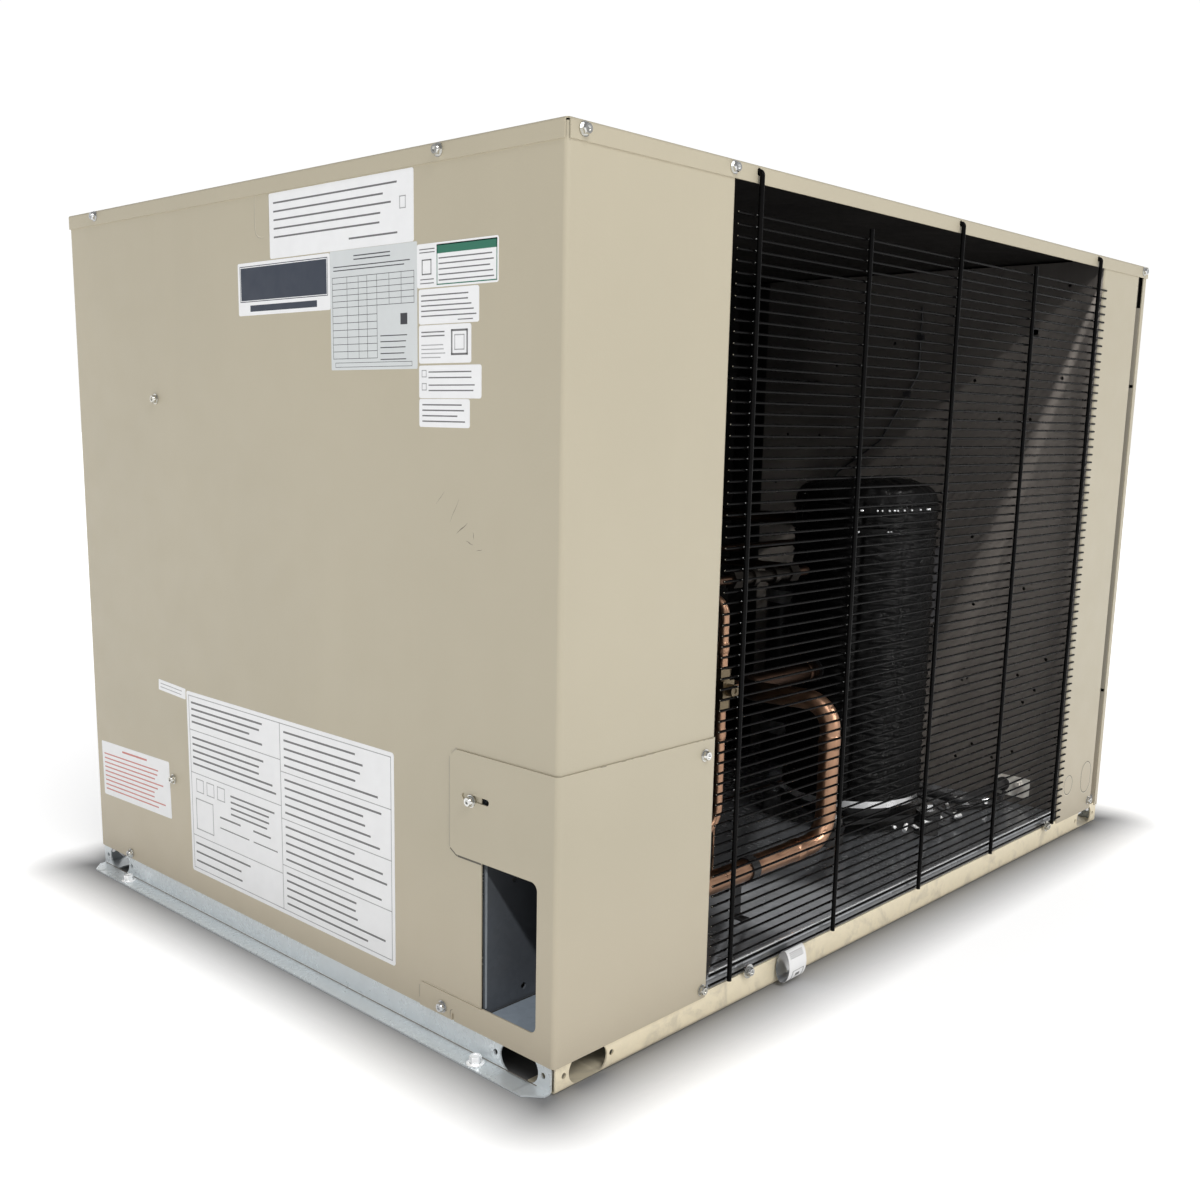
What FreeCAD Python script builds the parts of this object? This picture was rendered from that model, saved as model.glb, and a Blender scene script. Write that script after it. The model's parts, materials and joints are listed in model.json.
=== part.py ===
import FreeCAD, Part
import math
import os

V = FreeCAD.Vector

# ---------------------------------------------------------------- driving sizes (mm)
W = 1078.0            # body width, left panel face to right panel face (X)
D = 776.0             # body depth, front face to rear face (Y)
H = 750.0             # overall height (Z)
T_PANEL = 1.2         # painted panel sheet
T_BASE = 1.6          # galvanized base sheet
LIP = 14.5            # depth of the top cover's lip
LIP_OUT = 1.3         # how far the cover and access cover stand proud of the panels
Z_PANEL = 24.2        # lower edge of the panels
Z_DECK = 40.0         # top of the base deck
Z_SEAM = 268.0        # seam between left panel and access cover
X_STRIP = 196.5       # left edge of the discharge opening
X_POST = 942.0        # right edge of the discharge opening
X_POST_R = 1051.5     # right edge of the front right post's face
X_GROOVE = 1066.0     # left edge of the control panel's front flange
FLANGE = 17.9         # side mounting flange, outward from the panel face
GUARD_PITCH = 9.53    # guard wire pitch
GUARD_N = 72          # horizontal wires in the guard
GUARD_Z0 = 33.2       # lowest guard wire
R_WIRE = 1.15         # horizontal guard wire radius
R_STAY = 2.25         # vertical guard wire radius
STAYS = (224.6, 397.6, 570.6, 743.6, 916.6)
REAR_STAYS = (60.0, 299.0, 539.0, 779.0, 1018.0)
Y_CAB, Z_CAB = 77.4, 64.0   # where the compressor's cable passes the partition
X_BAY = 940.7         # partition between compressor bay and control compartment
Y_BAY = 450.0         # rear wall of the control compartment
Y_FANP = 560.0        # fan panel
FAN_C = (430.0, 385.0)    # fan axis (X, Z)
R_ORIF = 258.0        # fan orifice radius
R_FAN = 250.0         # fan blade tip radius
COMP = (700.0, 170.0)     # compressor axis (X, Y)
R_SHELL = 80.0        # compressor shell radius
R_JACKET = 85.0       # compressor sound jacket radius
R_SUCT = 11.1         # suction line radius (7/8 in)
R_DISC = 7.95         # discharge line radius (5/8 in)
R_LIQ = 4.76          # liquid line radius (3/8 in)

OX, OY = W / 2.0, D / 2.0     # body centre, which becomes the origin

NODES = {}
HOLES = []            # (point, outward direction, radius, depth, node names)


# ---------------------------------------------------------------- helpers
def box(x0, y0, z0, x1, y1, z1):
    return Part.makeBox(x1 - x0, y1 - y0, z1 - z0, V(x0, y0, z0))


def cyl(p, d, r, h):
    return Part.makeCylinder(r, h, V(*p), V(*d))


def frame(o, u, v):
    """Placement that maps local x, y to the directions u, v."""
    u = V(*u).normalize()
    v = V(*v).normalize()
    w = u.cross(v)
    return FreeCAD.Placement(FreeCAD.Matrix(u.x, v.x, w.x, o[0], u.y, v.y, w.y, o[1],
                                            u.z, v.z, w.z, o[2], 0, 0, 0, 1))


def sheet_face(pts, t, r):
    """Closed face of a bent sheet: pts is the outer line, the sheet lies on its left."""
    P = [V(p[0], p[1], 0) for p in pts]
    n = len(P)
    dirs = [(P[i + 1] - P[i]).normalize() for i in range(n - 1)]
    nor = [V(-d.y, d.x, 0) for d in dirs]
    base, off = [], []
    base.append((P[0], None))
    off.append((P[0] + nor[0] * t, None))
    for i in range(1, n - 1):
        cr = dirs[i - 1].x * dirs[i].y - dirs[i - 1].y * dirs[i].x
        dot = max(-1.0, min(1.0, dirs[i - 1].dot(dirs[i])))
        th = math.acos(dot)
        k = math.tan(th / 2)
        Q = P[i] + (nor[i - 1] + nor[i]) * (t / (1 + nor[i - 1].dot(nor[i])))
        rb, ro = (r + t, r) if cr > 0 else (r, r + t)
        for lst, C, rad in ((base, P[i], rb), (off, Q, ro)):
            a = C - dirs[i - 1] * (rad * k)
            b = C + dirs[i] * (rad * k)
            bis = (dirs[i] - dirs[i - 1]).normalize()
            cen = C + bis * (rad / math.cos(th / 2))
            mid = cen + (C - cen).normalize() * rad
            lst.append((a, (mid, b)))
    base.append((P[-1], None))
    off.append((P[-1] + nor[-1] * t, None))
    edges = []

    def run(lst):
        cur = lst[0][0]
        for a, arc in lst[1:]:
            if cur.distanceToPoint(a) > 1e-6:
                edges.append(Part.LineSegment(cur, a).toShape())
            if arc:
                edges.append(Part.Arc(a, arc[0], arc[1]).toShape())
                cur = arc[1]
            else:
                cur = a
        return cur

    e0 = run(base)
    edges.append(Part.LineSegment(e0, off[-1][0]).toShape())
    rev = []
    seq = off[::-1]
    rev.append((seq[0][0], None))
    for a, arc in seq[1:]:
        if arc:
            rev.append((arc[1], (arc[0], a)))
        else:
            rev.append((a, None))
    e1 = run(rev)
    edges.append(Part.LineSegment(e1, base[0][0]).toShape())
    return Part.Face(Part.Wire(Part.__sortEdges__(edges)))


def bent(pts, t, r, o, u, v, length):
    """Bent sheet extruded along u x v; a negative t puts the sheet on the right of pts."""
    f = sheet_face(pts[::-1], -t, r) if t < 0 else sheet_face(pts, t, r)
    w = V(*u).cross(V(*v)).normalize()
    f.Placement = frame(o, u, v)
    return f.extrude(w * length)


def poly(pts, o, u, v, h):
    P = [V(p[0], p[1], 0) for p in pts]
    f = Part.Face(Part.makePolygon(P + [P[0]]))
    w = V(*u).cross(V(*v)).normalize()
    f.Placement = frame(o, u, v)
    return f.extrude(w * h)


def obround(o, u, v, length, height, h):
    """Slot prism centred at o, long along u, extruded along u x v."""
    r = height / 2.0
    a = length / 2.0 - r
    e = [Part.LineSegment(V(-a, -r, 0), V(a, -r, 0)).toShape(),
         Part.Arc(V(a, -r, 0), V(a + r, 0, 0), V(a, r, 0)).toShape(),
         Part.LineSegment(V(a, r, 0), V(-a, r, 0)).toShape(),
         Part.Arc(V(-a, r, 0), V(-a - r, 0, 0), V(-a, -r, 0)).toShape()]
    f = Part.Face(Part.Wire(e))
    w = V(*u).cross(V(*v)).normalize()
    f.Placement = frame(o, u, v)
    return f.extrude(w * h)


def rrect(x0, y0, x1, y1, radii, o, u, v, h):
    """Rectangle prism with corner radii (x0y0, x1y0, x1y1, x0y1)."""
    a, b, c, d = radii
    s = math.sqrt(0.5)
    e = []

    def line(p, q):
        if (V(*p, 0) - V(*q, 0)).Length > 1e-6:
            e.append(Part.LineSegment(V(p[0], p[1], 0), V(q[0], q[1], 0)).toShape())

    def arc(cx, cy, r, a0, a1):
        if r > 0:
            m = (a0 + a1) / 2.0
            pt = [V(cx + r * math.cos(math.radians(q)), cy + r * math.sin(math.radians(q)), 0) for q in (a0, m, a1)]
            e.append(Part.Arc(*pt).toShape())

    line((x0 + a, y0), (x1 - b, y0))
    arc(x1 - b, y0 + b, b, -90, 0)
    line((x1, y0 + b), (x1, y1 - c))
    arc(x1 - c, y1 - c, c, 0, 90)
    line((x1 - c, y1), (x0 + d, y1))
    arc(x0 + d, y1 - d, d, 90, 180)
    line((x0, y1 - d), (x0, y0 + a))
    arc(x0 + a, y0 + a, a, 180, 270)
    f = Part.Face(Part.Wire(e))
    w = V(*u).cross(V(*v)).normalize()
    f.Placement = frame(o, u, v)
    return f.extrude(w * h)


def route(pts, r_bend):
    P = [V(*p) for p in pts]
    n = len(P)
    rb = r_bend if isinstance(r_bend, (list, tuple)) else [r_bend] * (n - 2)
    edges = []
    cur = P[0]
    for i in range(1, n - 1):
        d0 = (P[i] - P[i - 1]).normalize()
        d1 = (P[i + 1] - P[i]).normalize()
        th = math.acos(max(-1.0, min(1.0, d0.dot(d1))))
        k = math.tan(th / 2)
        rad = min(rb[i - 1], 0.48 * min((P[i] - P[i - 1]).Length, (P[i + 1] - P[i]).Length) / k)
        a = P[i] - d0 * (rad * k)
        b = P[i] + d1 * (rad * k)
        bis = (d1 - d0).normalize()
        cen = P[i] + bis * (rad / math.cos(th / 2))
        mid = cen + (P[i] - cen).normalize() * rad
        edges.append(Part.LineSegment(cur, a).toShape())
        edges.append(Part.Arc(a, mid, b).toShape())
        cur = b
    edges.append(Part.LineSegment(cur, P[-1]).toShape())
    return Part.Wire(edges)


def sweep(path, start, direction, r):
    c = Part.Wire([Part.makeCircle(r, start, direction)])
    return path.makePipeShell([c], True, False)


def tube(pts, r, r_bend, wall=None):
    path = route(pts, r_bend)
    s = V(*pts[0])
    d = (V(*pts[1]) - s).normalize()
    out = sweep(path, s, d, r)
    if wall:
        inn = sweep(path, s, d, r - wall)
        out = out.cut(inn)
    return out


def fuse(*shapes):
    s = shapes[0]
    if len(shapes) > 1:
        s = s.multiFuse(list(shapes[1:]))
    return s.removeSplitter()


def hexprism(p, d, af, h):
    d = V(*d).normalize()
    ref = V(0, 0, 1) if abs(d.z) < 0.9 else V(1, 0, 0)
    u = d.cross(ref).normalize()
    v = d.cross(u)
    R = af / math.sqrt(3)
    pts = [V(*p) + u * (R * math.cos(math.radians(60 * k))) + v * (R * math.sin(math.radians(60 * k))) for k in range(6)]
    return Part.Face(Part.makePolygon(pts + [pts[0]])).extrude(d * h)


def screw(p, d, nodes, af=8.0, hh=4.0, wr=5.4, wt=1.1, sr=2.0, sl=9.0, off=0.0):
    """Hex washer-head screw. p is on the outer surface, d points out of it."""
    d = V(*d).normalize()
    q = V(*p) + d * off
    wsh = Part.makeCylinder(wr, wt, q, d)
    hexh = hexprism(tuple(q + d * wt), tuple(d), af, hh)
    cone = Part.makeCone(af / 2.0 + 1.2, af / 2.0 - 0.45, hh + 0.001, q + d * wt, d)
    hexh = hexh.common(cone)
    rec = Part.makeCylinder(af * 0.24, 1.2, q + d * (wt + hh - 1.0), d)
    shank = Part.makeCylinder(sr, sl + off, q - d * (sl + off), d)
    HOLES.append((V(*p), d, sr + 0.15, sl + 1.0, nodes))
    return fuse(wsh, hexh, shank).cut(rec)


def add(name, shape):
    NODES[name] = shape


def comp(shapes):
    return Part.makeCompound(shapes)


def move(s, x=0, y=0, z=0):
    c = s.copy()
    c.translate(V(x, y, z))
    return c


X, Y, Z = (1, 0, 0), (0, 1, 0), (0, 0, 1)
NX, NY, NZ = (-1, 0, 0), (0, -1, 0), (0, 0, -1)

# ---------------------------------------------------------------- base
E = LIP_OUT                      # rails stand this far behind the panel faces
EF = E + T_BASE                  # deck flange plane
front = bent([(EF, 8), (EF, Z_DECK), (D - EF, Z_DECK), (D - EF, 8)][::-1], T_BASE, 3.0, (6, 0, 0), Y, Z, W - 12)
side = bent([(EF, 8), (EF, Z_DECK), (W - EF, Z_DECK), (W - EF, 8)][::-1], T_BASE, 3.0, (0, D - 9, 0), X, Z, D - 18)
deck = fuse(front, side)
# corner reliefs beside the rail slots
cuts = []
for xa, xb in ((0, 74), (W - 74, W)):
    for ya, yb in ((0, 8), (D - 8, D)):
        cuts.append(box(xa, ya, 0, xb, yb, 28.5))
for ya, yb in ((0, 74), (D - 74, D)):
    for xa, xb in ((0, 8), (W - 8, W)):
        cuts.append(box(xa, ya, 0, xb, yb, 28.5))
# drain holes and a wiring hole
for px, py in ((260, 420), (560, 420), (820, 500), (300, 640), (700, 640), (960, 640), (960, 120), (90, 640)):
    cuts.append(cyl((px, py, 30), Z, 6.0, 15))
deck = deck.cut(comp(cuts))
add("base_deck", deck)


def rail_slots(length, axis):
    """Slot and hole cutters near both ends of a rail; axis X or Y."""
    out = []
    for c in (42.0, length - 42.0):
        if axis == "X":
            out.append(obround((c, -30, 13.5), X, NZ, 46.0, 25.0, 60.0))
            for k in (-28.7, 28.7):
                out.append(cyl((c + k, -30, 13.5), Y, 2.6, 60))
        else:
            out.append(obround((-30, c, 13.5), Y, Z, 46.0, 25.0, 60.0))
            for k in (-28.7, 28.7):
                out.append(cyl((-30, c + k, 13.5), X, 2.6, 60))
    return out


def rail_x(y_face, sgn, z_top):
    """Front (sgn 1) or rear (sgn -1) rail: web plus a foot turned inward."""
    if sgn > 0:
        pts = [(y_face, z_top), (y_face, 0), (y_face + 32, 0)]
    else:
        pts = [(y_face - 32, 0), (y_face, 0), (y_face, z_top)]
    s = bent(pts, T_BASE, 1.6, (3.5, 0, 0), Y, Z, W - 7)
    return s.cut(comp([move(q, 0, y_face, 0) for q in rail_slots(W, "X")]))


add("front_rail", rail_x(E, 1, 27.5))
add("rear_rail", rail_x(D - E, -1, 38.0))


def rail_y(x_face, sgn):
    """Left (sgn -1, foot turned out to -X) or right rail."""
    if sgn < 0:
        outer = [(x_face + T_BASE, 38.0), (x_face + T_BASE, 0.0), (-FLANGE, 0.0)]
        s = bent(outer[::-1], T_BASE, 2.0, (0, D - 4.5, 0), X, Z, D - 9)
    else:
        outer = [(x_face - T_BASE, 38.0), (x_face - T_BASE, 0.0), (W + FLANGE, 0.0)]
        s = bent(outer, T_BASE, 2.0, (0, D - 4.5, 0), X, Z, D - 9)
    cut = [move(q, x_face, 0, 0) for q in rail_slots(D, "Y")]
    # chamfered flange ends
    xo = -FLANGE if sgn < 0 else W + FLANGE
    xi = xo + 14 if sgn < 0 else xo - 14
    for ye, k in ((4.5, 1), (D - 4.5, -1)):
        cut.append(poly([(xo + sgn, ye - k * 2), (xi, ye - k * 2), (xo + sgn, ye + k * 16)], (0, 0, -1), X, Y, 4))
    return s, cut


for nm, xf, sg in (("left_rail", E, -1), ("right_rail", W - E, 1)):
    s, cut = rail_y(xf, sg)
    xm = -9.5 if sg < 0 else W + 9.5
    for yy in (84.0, D - 84.0):           # mounting bolt holes in the flange
        cut.append(cyl((xm, yy, -1), Z, 5.5, 5))
    s = s.cut(comp(cut))
    add(nm, s)

# ---------------------------------------------------------------- left panel
T = T_PANEL
Z_PT = 747.4
# plan profile: front return flange, front strip, corner, left face, rear return
prof = [(X_STRIP, 16.0), (X_STRIP, 0.0), (0.0, 0.0), (0.0, D), (30.0, D)]
lp = bent([(p[0], p[1]) for p in prof][::-1], T, 3.0, (0, 0, Z_PANEL), X, Y, Z_PT - Z_PANEL)
cut = [box(-1, -1, 0, X_STRIP + 5, 88.0, 262.0)]
lp = lp.cut(comp(cut))
topfl = box(T + 0.05, 30, Z_PT - T, 16, D - 34, Z_PT)
lp = fuse(lp, topfl, box(T - 0.6, 30, Z_PT - T, T + 0.2, D - 34, Z_PT))
# pressed outline of an unused opening
lp = lp.cut(box(-0.4, 379.2, 697, 0.25, 380.0, 734))
add("left_panel", lp)

# ---------------------------------------------------------------- access cover (L shaped, over the valve corner)
acc = bent([(X_STRIP, 12.0), (X_STRIP, -E), (-E, -E), (-E, 168.0)][::-1], T, 3.0, (0, 0, Z_PANEL), X, Y, Z_SEAM - Z_PANEL)
cut = [rrect(20.2, 47.7, 90.0 + 90, 176.6, (7, 0, 0, 7), (-20, 0, 0), Y, Z, 30)]
# above the opening the leg ends in a chamfered tab, below it in a rounded foot
cut.append(box(-10, 126.7, 46.6, 3, 200, 300))
cut.append(poly([(118.4, 176.5), (130, 176.5), (130, 183.4)], (-10, 0, 0), Y, Z, 13))
cut.append(poly([(118.7, Z_SEAM + 0.1), (130, Z_SEAM + 0.1), (130, Z_SEAM - 8.5)], (-10, 0, 0), Y, Z, 13))
cut.append(box(-10, 85.3, 46.6, 3, 126.7, 47.8))
cut.append(obround((-20, 94.6, 230.0), Y, Z, 33.6, 5.4, 30))
cut.append(rrect(121.4, Z_PANEL - 3, 124.4, 31.0, (0, 0, 1.4, 1.4), (-20, 0, 0), Y, Z, 30))
cut.append(box(188, -0.08, 261.5, 200, 14, 270))      # clear of the panel's own return
cut.append(box(190, -0.08, 20, 200, 14, 44.0))        # and of the base
acc = acc.cut(comp(cut))
blk = box(-3, 160, Z_PANEL - 1, 1, 170, 47.5).cut(rrect(150, Z_PANEL - 2, 168.0, 46.6, (0, 0, 4.5, 0), (-5, 0, 0), Y, Z, 10))
acc = acc.cut(blk)
add("access_cover", acc)

# ---------------------------------------------------------------- line chase behind the access cover
cw = box(3.0, 88.6 - T_BASE, Z_DECK + 0.1, 207.0, 88.6, Z_DECK + 220.1)
cw = cw.cut(comp([cyl((48.8, 80, 52.6), Y, 3.0, 20), cyl((37.4, 80, 153.6), Y, 3.1, 20), cyl((150, 80, 200), Y, 16.0, 20), cyl((60, 80, 200), Y, 9.0, 20)]))
add("line_chase", cw)
# the chase's end wall, with a lip that lies against the long wall
ce = bent([(193.0, 5.5), (193.0, 88.55 - T_BASE), (206.6, 88.55 - T_BASE)], -T_BASE, 1.6, (0, 0, Z_DECK + 0.1), X, Y, 220.0)
add("chase_end", ce)

# ---------------------------------------------------------------- front right post
post = bent([(X_POST, 22.0), (X_POST, 0.0), (X_POST_R, 0.0), (X_POST_R, 9.0), (X_GROOVE + 9.5, 9.0)], T, 1.4,
            (0, 0, Z_PANEL), X, Y, Z_PT - Z_PANEL)
cut = []
# unused cable entries, pressed as fine rings
for cx_, cz_, rx, rz in ((1026.5, 72.8, 16.0, 22.0),):
    o_ = obround((cx_, -5, cz_), Z, X, 2 * rz, 2 * rx, 5.35)
    i_ = obround((cx_, -5, cz_), Z, X, 2 * rz - 2.4, 2 * rx - 2.4, 5.35)
    cut.append(o_.cut(i_))
rg = cyl((970.0, -5, 72.0), Y, 13.5, 5.3).cut(cyl((970.0, -5, 72.0), Y, 12.4, 5.3))
cut.append(rg)
cut.append(box(X_POST_R - 0.3, 8.5, 700, X_GROOVE - 2, 11, 734.0))
for zc in (598.0, 190.0):
    cut.append(poly([(X_POST_R + 3.0, zc + 14), (X_POST_R + 5.6, zc + 14), (X_POST_R + 11.0, zc - 12), (X_POST_R + 8.4, zc - 12)], (0, 12, 0), X, Z, 5))
cut.append(box(X_POST - 1, 1.25, 20, 1080, 30, 40.2))
post = post.cut(comp(cut))
add("front_post", post)

# ---------------------------------------------------------------- control access panel (right side, front part)
cap = bent([(X_GROOVE, 0.0), (W, 0.0), (W, Y_BAY - 2.0)], T, 3.0, (0, 0, Z_PANEL), X, Y, Z_PT - 3 - Z_PANEL)
add("control_access_panel", cap)
# right rear panel with the rear corner
rrp = bent([(W - 0.0, Y_BAY + 1.0), (W, D), (W - 30.0, D)], T, 3.0, (0, 0, Z_PANEL), X, Y, Z_PT - Z_PANEL)
backer = box(W - T - 1.5, Y_BAY - 18, Z_DECK + 4, W - T - 0.1, Y_BAY + 20, Z_PT - 6)
topfl = box(W - 16, Y_BAY + 24, Z_PT - T, W - T + 0.2, D - 34, Z_PT)
rrp = fuse(rrp, topfl, box(W - T - 0.3, Y_BAY + 2, Z_DECK + 4, W - T + 0.3, Y_BAY + 20, Z_PT - 6), backer)
add("right_rear_panel", rrp)

# ---------------------------------------------------------------- top cover
z0 = H - LIP
a = bent([(-E, z0), (-E, H), (D + E, H), (D + E, z0)][::-1], T, 1.0, (1.8, 0, 0), Y, Z, W - 3.6)
b = bent([(-E, z0), (-E, H), (W + E, H), (W + E, z0)][::-1], T, 1.0, (0, D - 1.8, 0), X, Z, D - 3.6)
cov = fuse(a, b)
cut = []
for xs in (STAYS[0], STAYS[2], STAYS[4]):
    cut.append(obround((xs, -10, 744.6), Z, X, 6.6, 5.2, 12.0))
for xs in (REAR_STAYS[0], REAR_STAYS[2], REAR_STAYS[4]):
    cut.append(obround((xs, D - 2, 744.6), Z, X, 6.6, 5.2, 14.0))
cov = cov.cut(comp(cut))
add("top_cover", cov)

# ---------------------------------------------------------------- wire guards
Y_WIRE = -R_WIRE - 0.05
Y_STAY = Y_WIRE - R_WIRE - R_STAY + 0.05


def guard(sgn, yface, x0, x1, stays, pitch, n):
    """Welded wire guard; sgn -1 in front of yface, +1 behind it."""
    yw = yface + sgn * (R_WIRE + 0.05)
    ys = yface + sgn * (R_WIRE * 2 + R_STAY)
    out = []
    for k in range(n):
        out.append(cyl((x0, yw, GUARD_Z0 + pitch * k), X, R_WIRE, x1 - x0))
    for i, xs in enumerate(stays):
        if i % 2 == 0:
            zt = 744.6
            pts = [(xs, ys, 31.0), (xs, ys, zt), (xs, yface - sgn * 2.0, zt)]
            out.append(tube(pts, R_STAY, [4.2]))
        else:
            out.append(cyl((xs, ys, 31.0), Z, R_STAY, 719.0 - 31.0))
    return out[0].multiFuse(out[1:])


add("discharge_guard", guard(-1, 0.0, 198.5, 948.0, STAYS, GUARD_PITCH, GUARD_N))
add("coil_guard", guard(1, D, 34.0, W - 34.0, REAR_STAYS, GUARD_PITCH * 2, 36))

# ---------------------------------------------------------------- control compartment wall
pw = bent([(X_BAY, 1.6), (X_BAY, Y_FANP - 0.2), (X_BAY + 18.0, Y_FANP - 0.2)], -T, 1.6, (0, 0, Z_DECK + 0.1), X, Y, 706.3)
cut = []
WALL_HOLES = ((45, 199), (60, 180), (128, 110), (151, 88), (69, 110), (97.5, 80.5 + 16), (43, 90), (287, 653), (192, 654), (43, 718), (85, 699),
              (85, 622), (163, 602), (43, 604), (124, 552), (81, 552), (460, 525), (404, 525), (380, 625), (242, 512), (192, 454), (150, 395), (71, 332),
              (478, 454), (141, 303.5), (33, 242), (150, 197), (143, 201), (70, 215.5), (404.5, 600), (300, 330))
for yy, zz in WALL_HOLES:
    cut.append(cyl((X_BAY - 5, yy, zz), X, 2.4, 12))
cut.append(rrect(79.5, 658.0, 87.0, 666.5, (1.5, 1.5, 1.5, 1.5), (X_BAY - 5, 0, 0), Y, Z, 12))
cut.append(cyl((X_BAY - 5, Y_CAB, Z_CAB), X, 7.6, 12))
pw = pw.cut(comp(cut))
add("control_wall", pw)

# ---------------------------------------------------------------- fan panel with its orifice ring
fp = bent([(T + 0.1, Y_FANP + 46), (T + 0.1, Y_FANP), (W - T - 0.1, Y_FANP), (W - T - 0.1, Y_FANP + 46)], T, 2.0,
          (0, 0, Z_DECK + 0.1), X, Y, 703.0)
fp = fp.cut(cyl((FAN_C[0], Y_FANP - 5, FAN_C[1]), Y, R_ORIF + 12.0, 20))
fx, fz = FAN_C
# rolled ring, revolved about the fan axis
e = [Part.LineSegment(V(R_ORIF + 14, Y_FANP, 0), V(R_ORIF + 12, Y_FANP, 0)).toShape(),
     Part.Arc(V(R_ORIF + 12, Y_FANP, 0), V(R_ORIF + 12 - 12 * math.sin(math.radians(45)), Y_FANP + 12 - 12 * math.cos(math.radians(45)), 0), V(R_ORIF, Y_FANP + 12, 0)).toShape(),
     Part.LineSegment(V(R_ORIF, Y_FANP + 12, 0), V(R_ORIF, Y_FANP + 35, 0)).toShape(),
     Part.LineSegment(V(R_ORIF, Y_FANP + 35, 0), V(R_ORIF + T, Y_FANP + 35, 0)).toShape(),
     Part.LineSegment(V(R_ORIF + T, Y_FANP + 35, 0), V(R_ORIF + T, Y_FANP + 12, 0)).toShape(),
     Part.Arc(V(R_ORIF + T, Y_FANP + 12, 0), V(R_ORIF + 12 - 10.8 * math.sin(math.radians(45)), Y_FANP + 12 - 10.8 * math.cos(math.radians(45)), 0), V(R_ORIF + 12, Y_FANP + T, 0)).toShape(),
     Part.LineSegment(V(R_ORIF + 12, Y_FANP + T, 0), V(R_ORIF + 14, Y_FANP + T, 0)).toShape(),
     Part.LineSegment(V(R_ORIF + 14, Y_FANP + T, 0), V(R_ORIF + 14, Y_FANP, 0)).toShape()]
ring = Part.Face(Part.Wire(e)).revolve(V(0, 0, 0), V(0, 1, 0), 360)
ring.translate(V(fx, 0, fz))
fp = fuse(fp, ring)
fp = fp.cut(comp([cyl((120, Y_FANP - 5, 66), Y, R_DISC + 4, 12), cyl((160, Y_FANP - 5, 118), Y, R_LIQ + 5, 12)]
                 + [cyl((fx + 286 * math.cos(math.radians(q)), Y_FANP - 5, fz + 286 * math.sin(math.radians(q))), Y, 3.3, 12) for q in (30, 150, 270)]))
add("fan_panel", fp)

# ---------------------------------------------------------------- fan motor, bracket and fan
MY0, MY1 = 432.0, 552.0
RM = 63.5
mot = fuse(cyl((fx, MY0 + 8, fz), Y, RM, MY1 - MY0 - 16),
           Part.makeCone(48.0, RM, 8.001, V(fx, MY0, fz), V(*Y)),
           Part.makeCone(RM, 50.0, 8.0, V(fx, MY1 - 8, fz), V(*Y)))
boss = cyl((fx, MY1 - 0.1, fz), Y, 20.0, 6.1)
mot = fuse(mot, boss)
mot = mot.cut(cyl((fx, MY1 - 60, fz), Y, 6.40, 80))
vents = []
for k in range(12):
    q = math.radians(30 * k + 15)
    vents.append(obround((fx + 38 * math.cos(q), MY0 - 1, fz + 38 * math.sin(q)), (math.cos(q), 0, math.sin(q)), (math.sin(q), 0, -math.cos(q)), 14, 5, 6))
mot = mot.cut(comp([v for v in vents]))
add("fan_motor", mot)

band = cyl((fx, 482, fz), Y, RM + 2.1, 26).cut(cyl((fx, 481, fz), Y, RM + 0.05, 28))
parts = [band]
for q in (30, 150, 270):
    c, s_ = math.cos(math.radians(q)), math.sin(math.radians(q))
    # flat strut from the band to the panel, stepped back to its foot
    prf = [(RM + 1.0, 488.0), (269.0, Y_FANP - 2.6), (298.0, Y_FANP - 2.6), (298.0, Y_FANP), (264.0, Y_FANP), (RM + 1.0, 492.5)]
    st = poly(prf, (0, 0, -9), X, Y, 18)
    st = st.cut(cyl((286, Y_FANP - 10, 0), Y, 3.3, 20))
    st.rotate(V(0, 0, 0), V(0, 1, 0), -q)
    st.translate(V(fx, 0, fz))
    st = st.cut(cyl((fx, 470, fz), Y, RM + 0.05, 60))
    parts.append(st)
lug = box(fx - 4, 484, fz + RM + 1.0, fx + 4, 506, fz + RM + 15)
parts.append(lug)
mb = fuse(*parts).cut(box(fx - 1.0, 480, fz + RM - 1, fx + 1.0, 510, fz + RM + 20))
mb = mb.cut(cyl((fx - 10, 495, fz + RM + 8.6), X, 2.2, 20))
add("motor_bracket", mb)
mbolts = [fuse(hexprism((fx - 4, 495, fz + RM + 8.6), NX, 7, 3.2), cyl((fx - 4.01, 495, fz + RM + 8.6), X, 2.0, 12.0), hexprism((fx + 4, 495, fz + RM + 8.6), X, 7, 3.4))]
for q in (30, 150, 270):
    c, s_ = math.cos(math.radians(q)), math.sin(math.radians(q))
    px, pz = fx + 286 * c, fz + 286 * s_
    mbolts.append(fuse(hexprism((px, Y_FANP - 2.6, pz), NY, 10, 4.4), cyl((px, Y_FANP - 2.61, pz), Y, 3.0, 12.0), hexprism((px, Y_FANP + T, pz), Y, 10, 5.0)))
add("motor_bolts", comp(mbolts))

shaft = cyl((fx, MY1 - 55, fz), Y, 6.35, 118.0)
add("fan_shaft", shaft)
HUBY = 606.0
hub = cyl((fx, HUBY - 13, fz), Y, 19.0, 26.0).cut(cyl((fx, HUBY - 20, fz), Y, 6.35, 40))
hub = fuse(hub, cyl((fx, HUBY - 3, fz), Y, 34.0, 3.0).cut(cyl((fx, HUBY - 4, fz), Y, 6.35, 5)))
sset = cyl((fx, HUBY + 6, fz + 6.9), Z, 2.5, 13.5)


def blade_point(rad, ch, pit, skew, u, side, th):
    """Point on a pitched, cambered blade section, before its turn about the axis."""
    p = math.radians(pit)
    v = 0.05 * ch * (1 - (2 * u) ** 2) + side * th / 2.0
    tang = u * ch * math.cos(p) - v * math.sin(p)
    axl = u * ch * math.sin(p) + v * math.cos(p)
    a = tang / rad + math.radians(skew)
    return V(rad * math.cos(a), axl, rad * math.sin(a))


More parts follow.
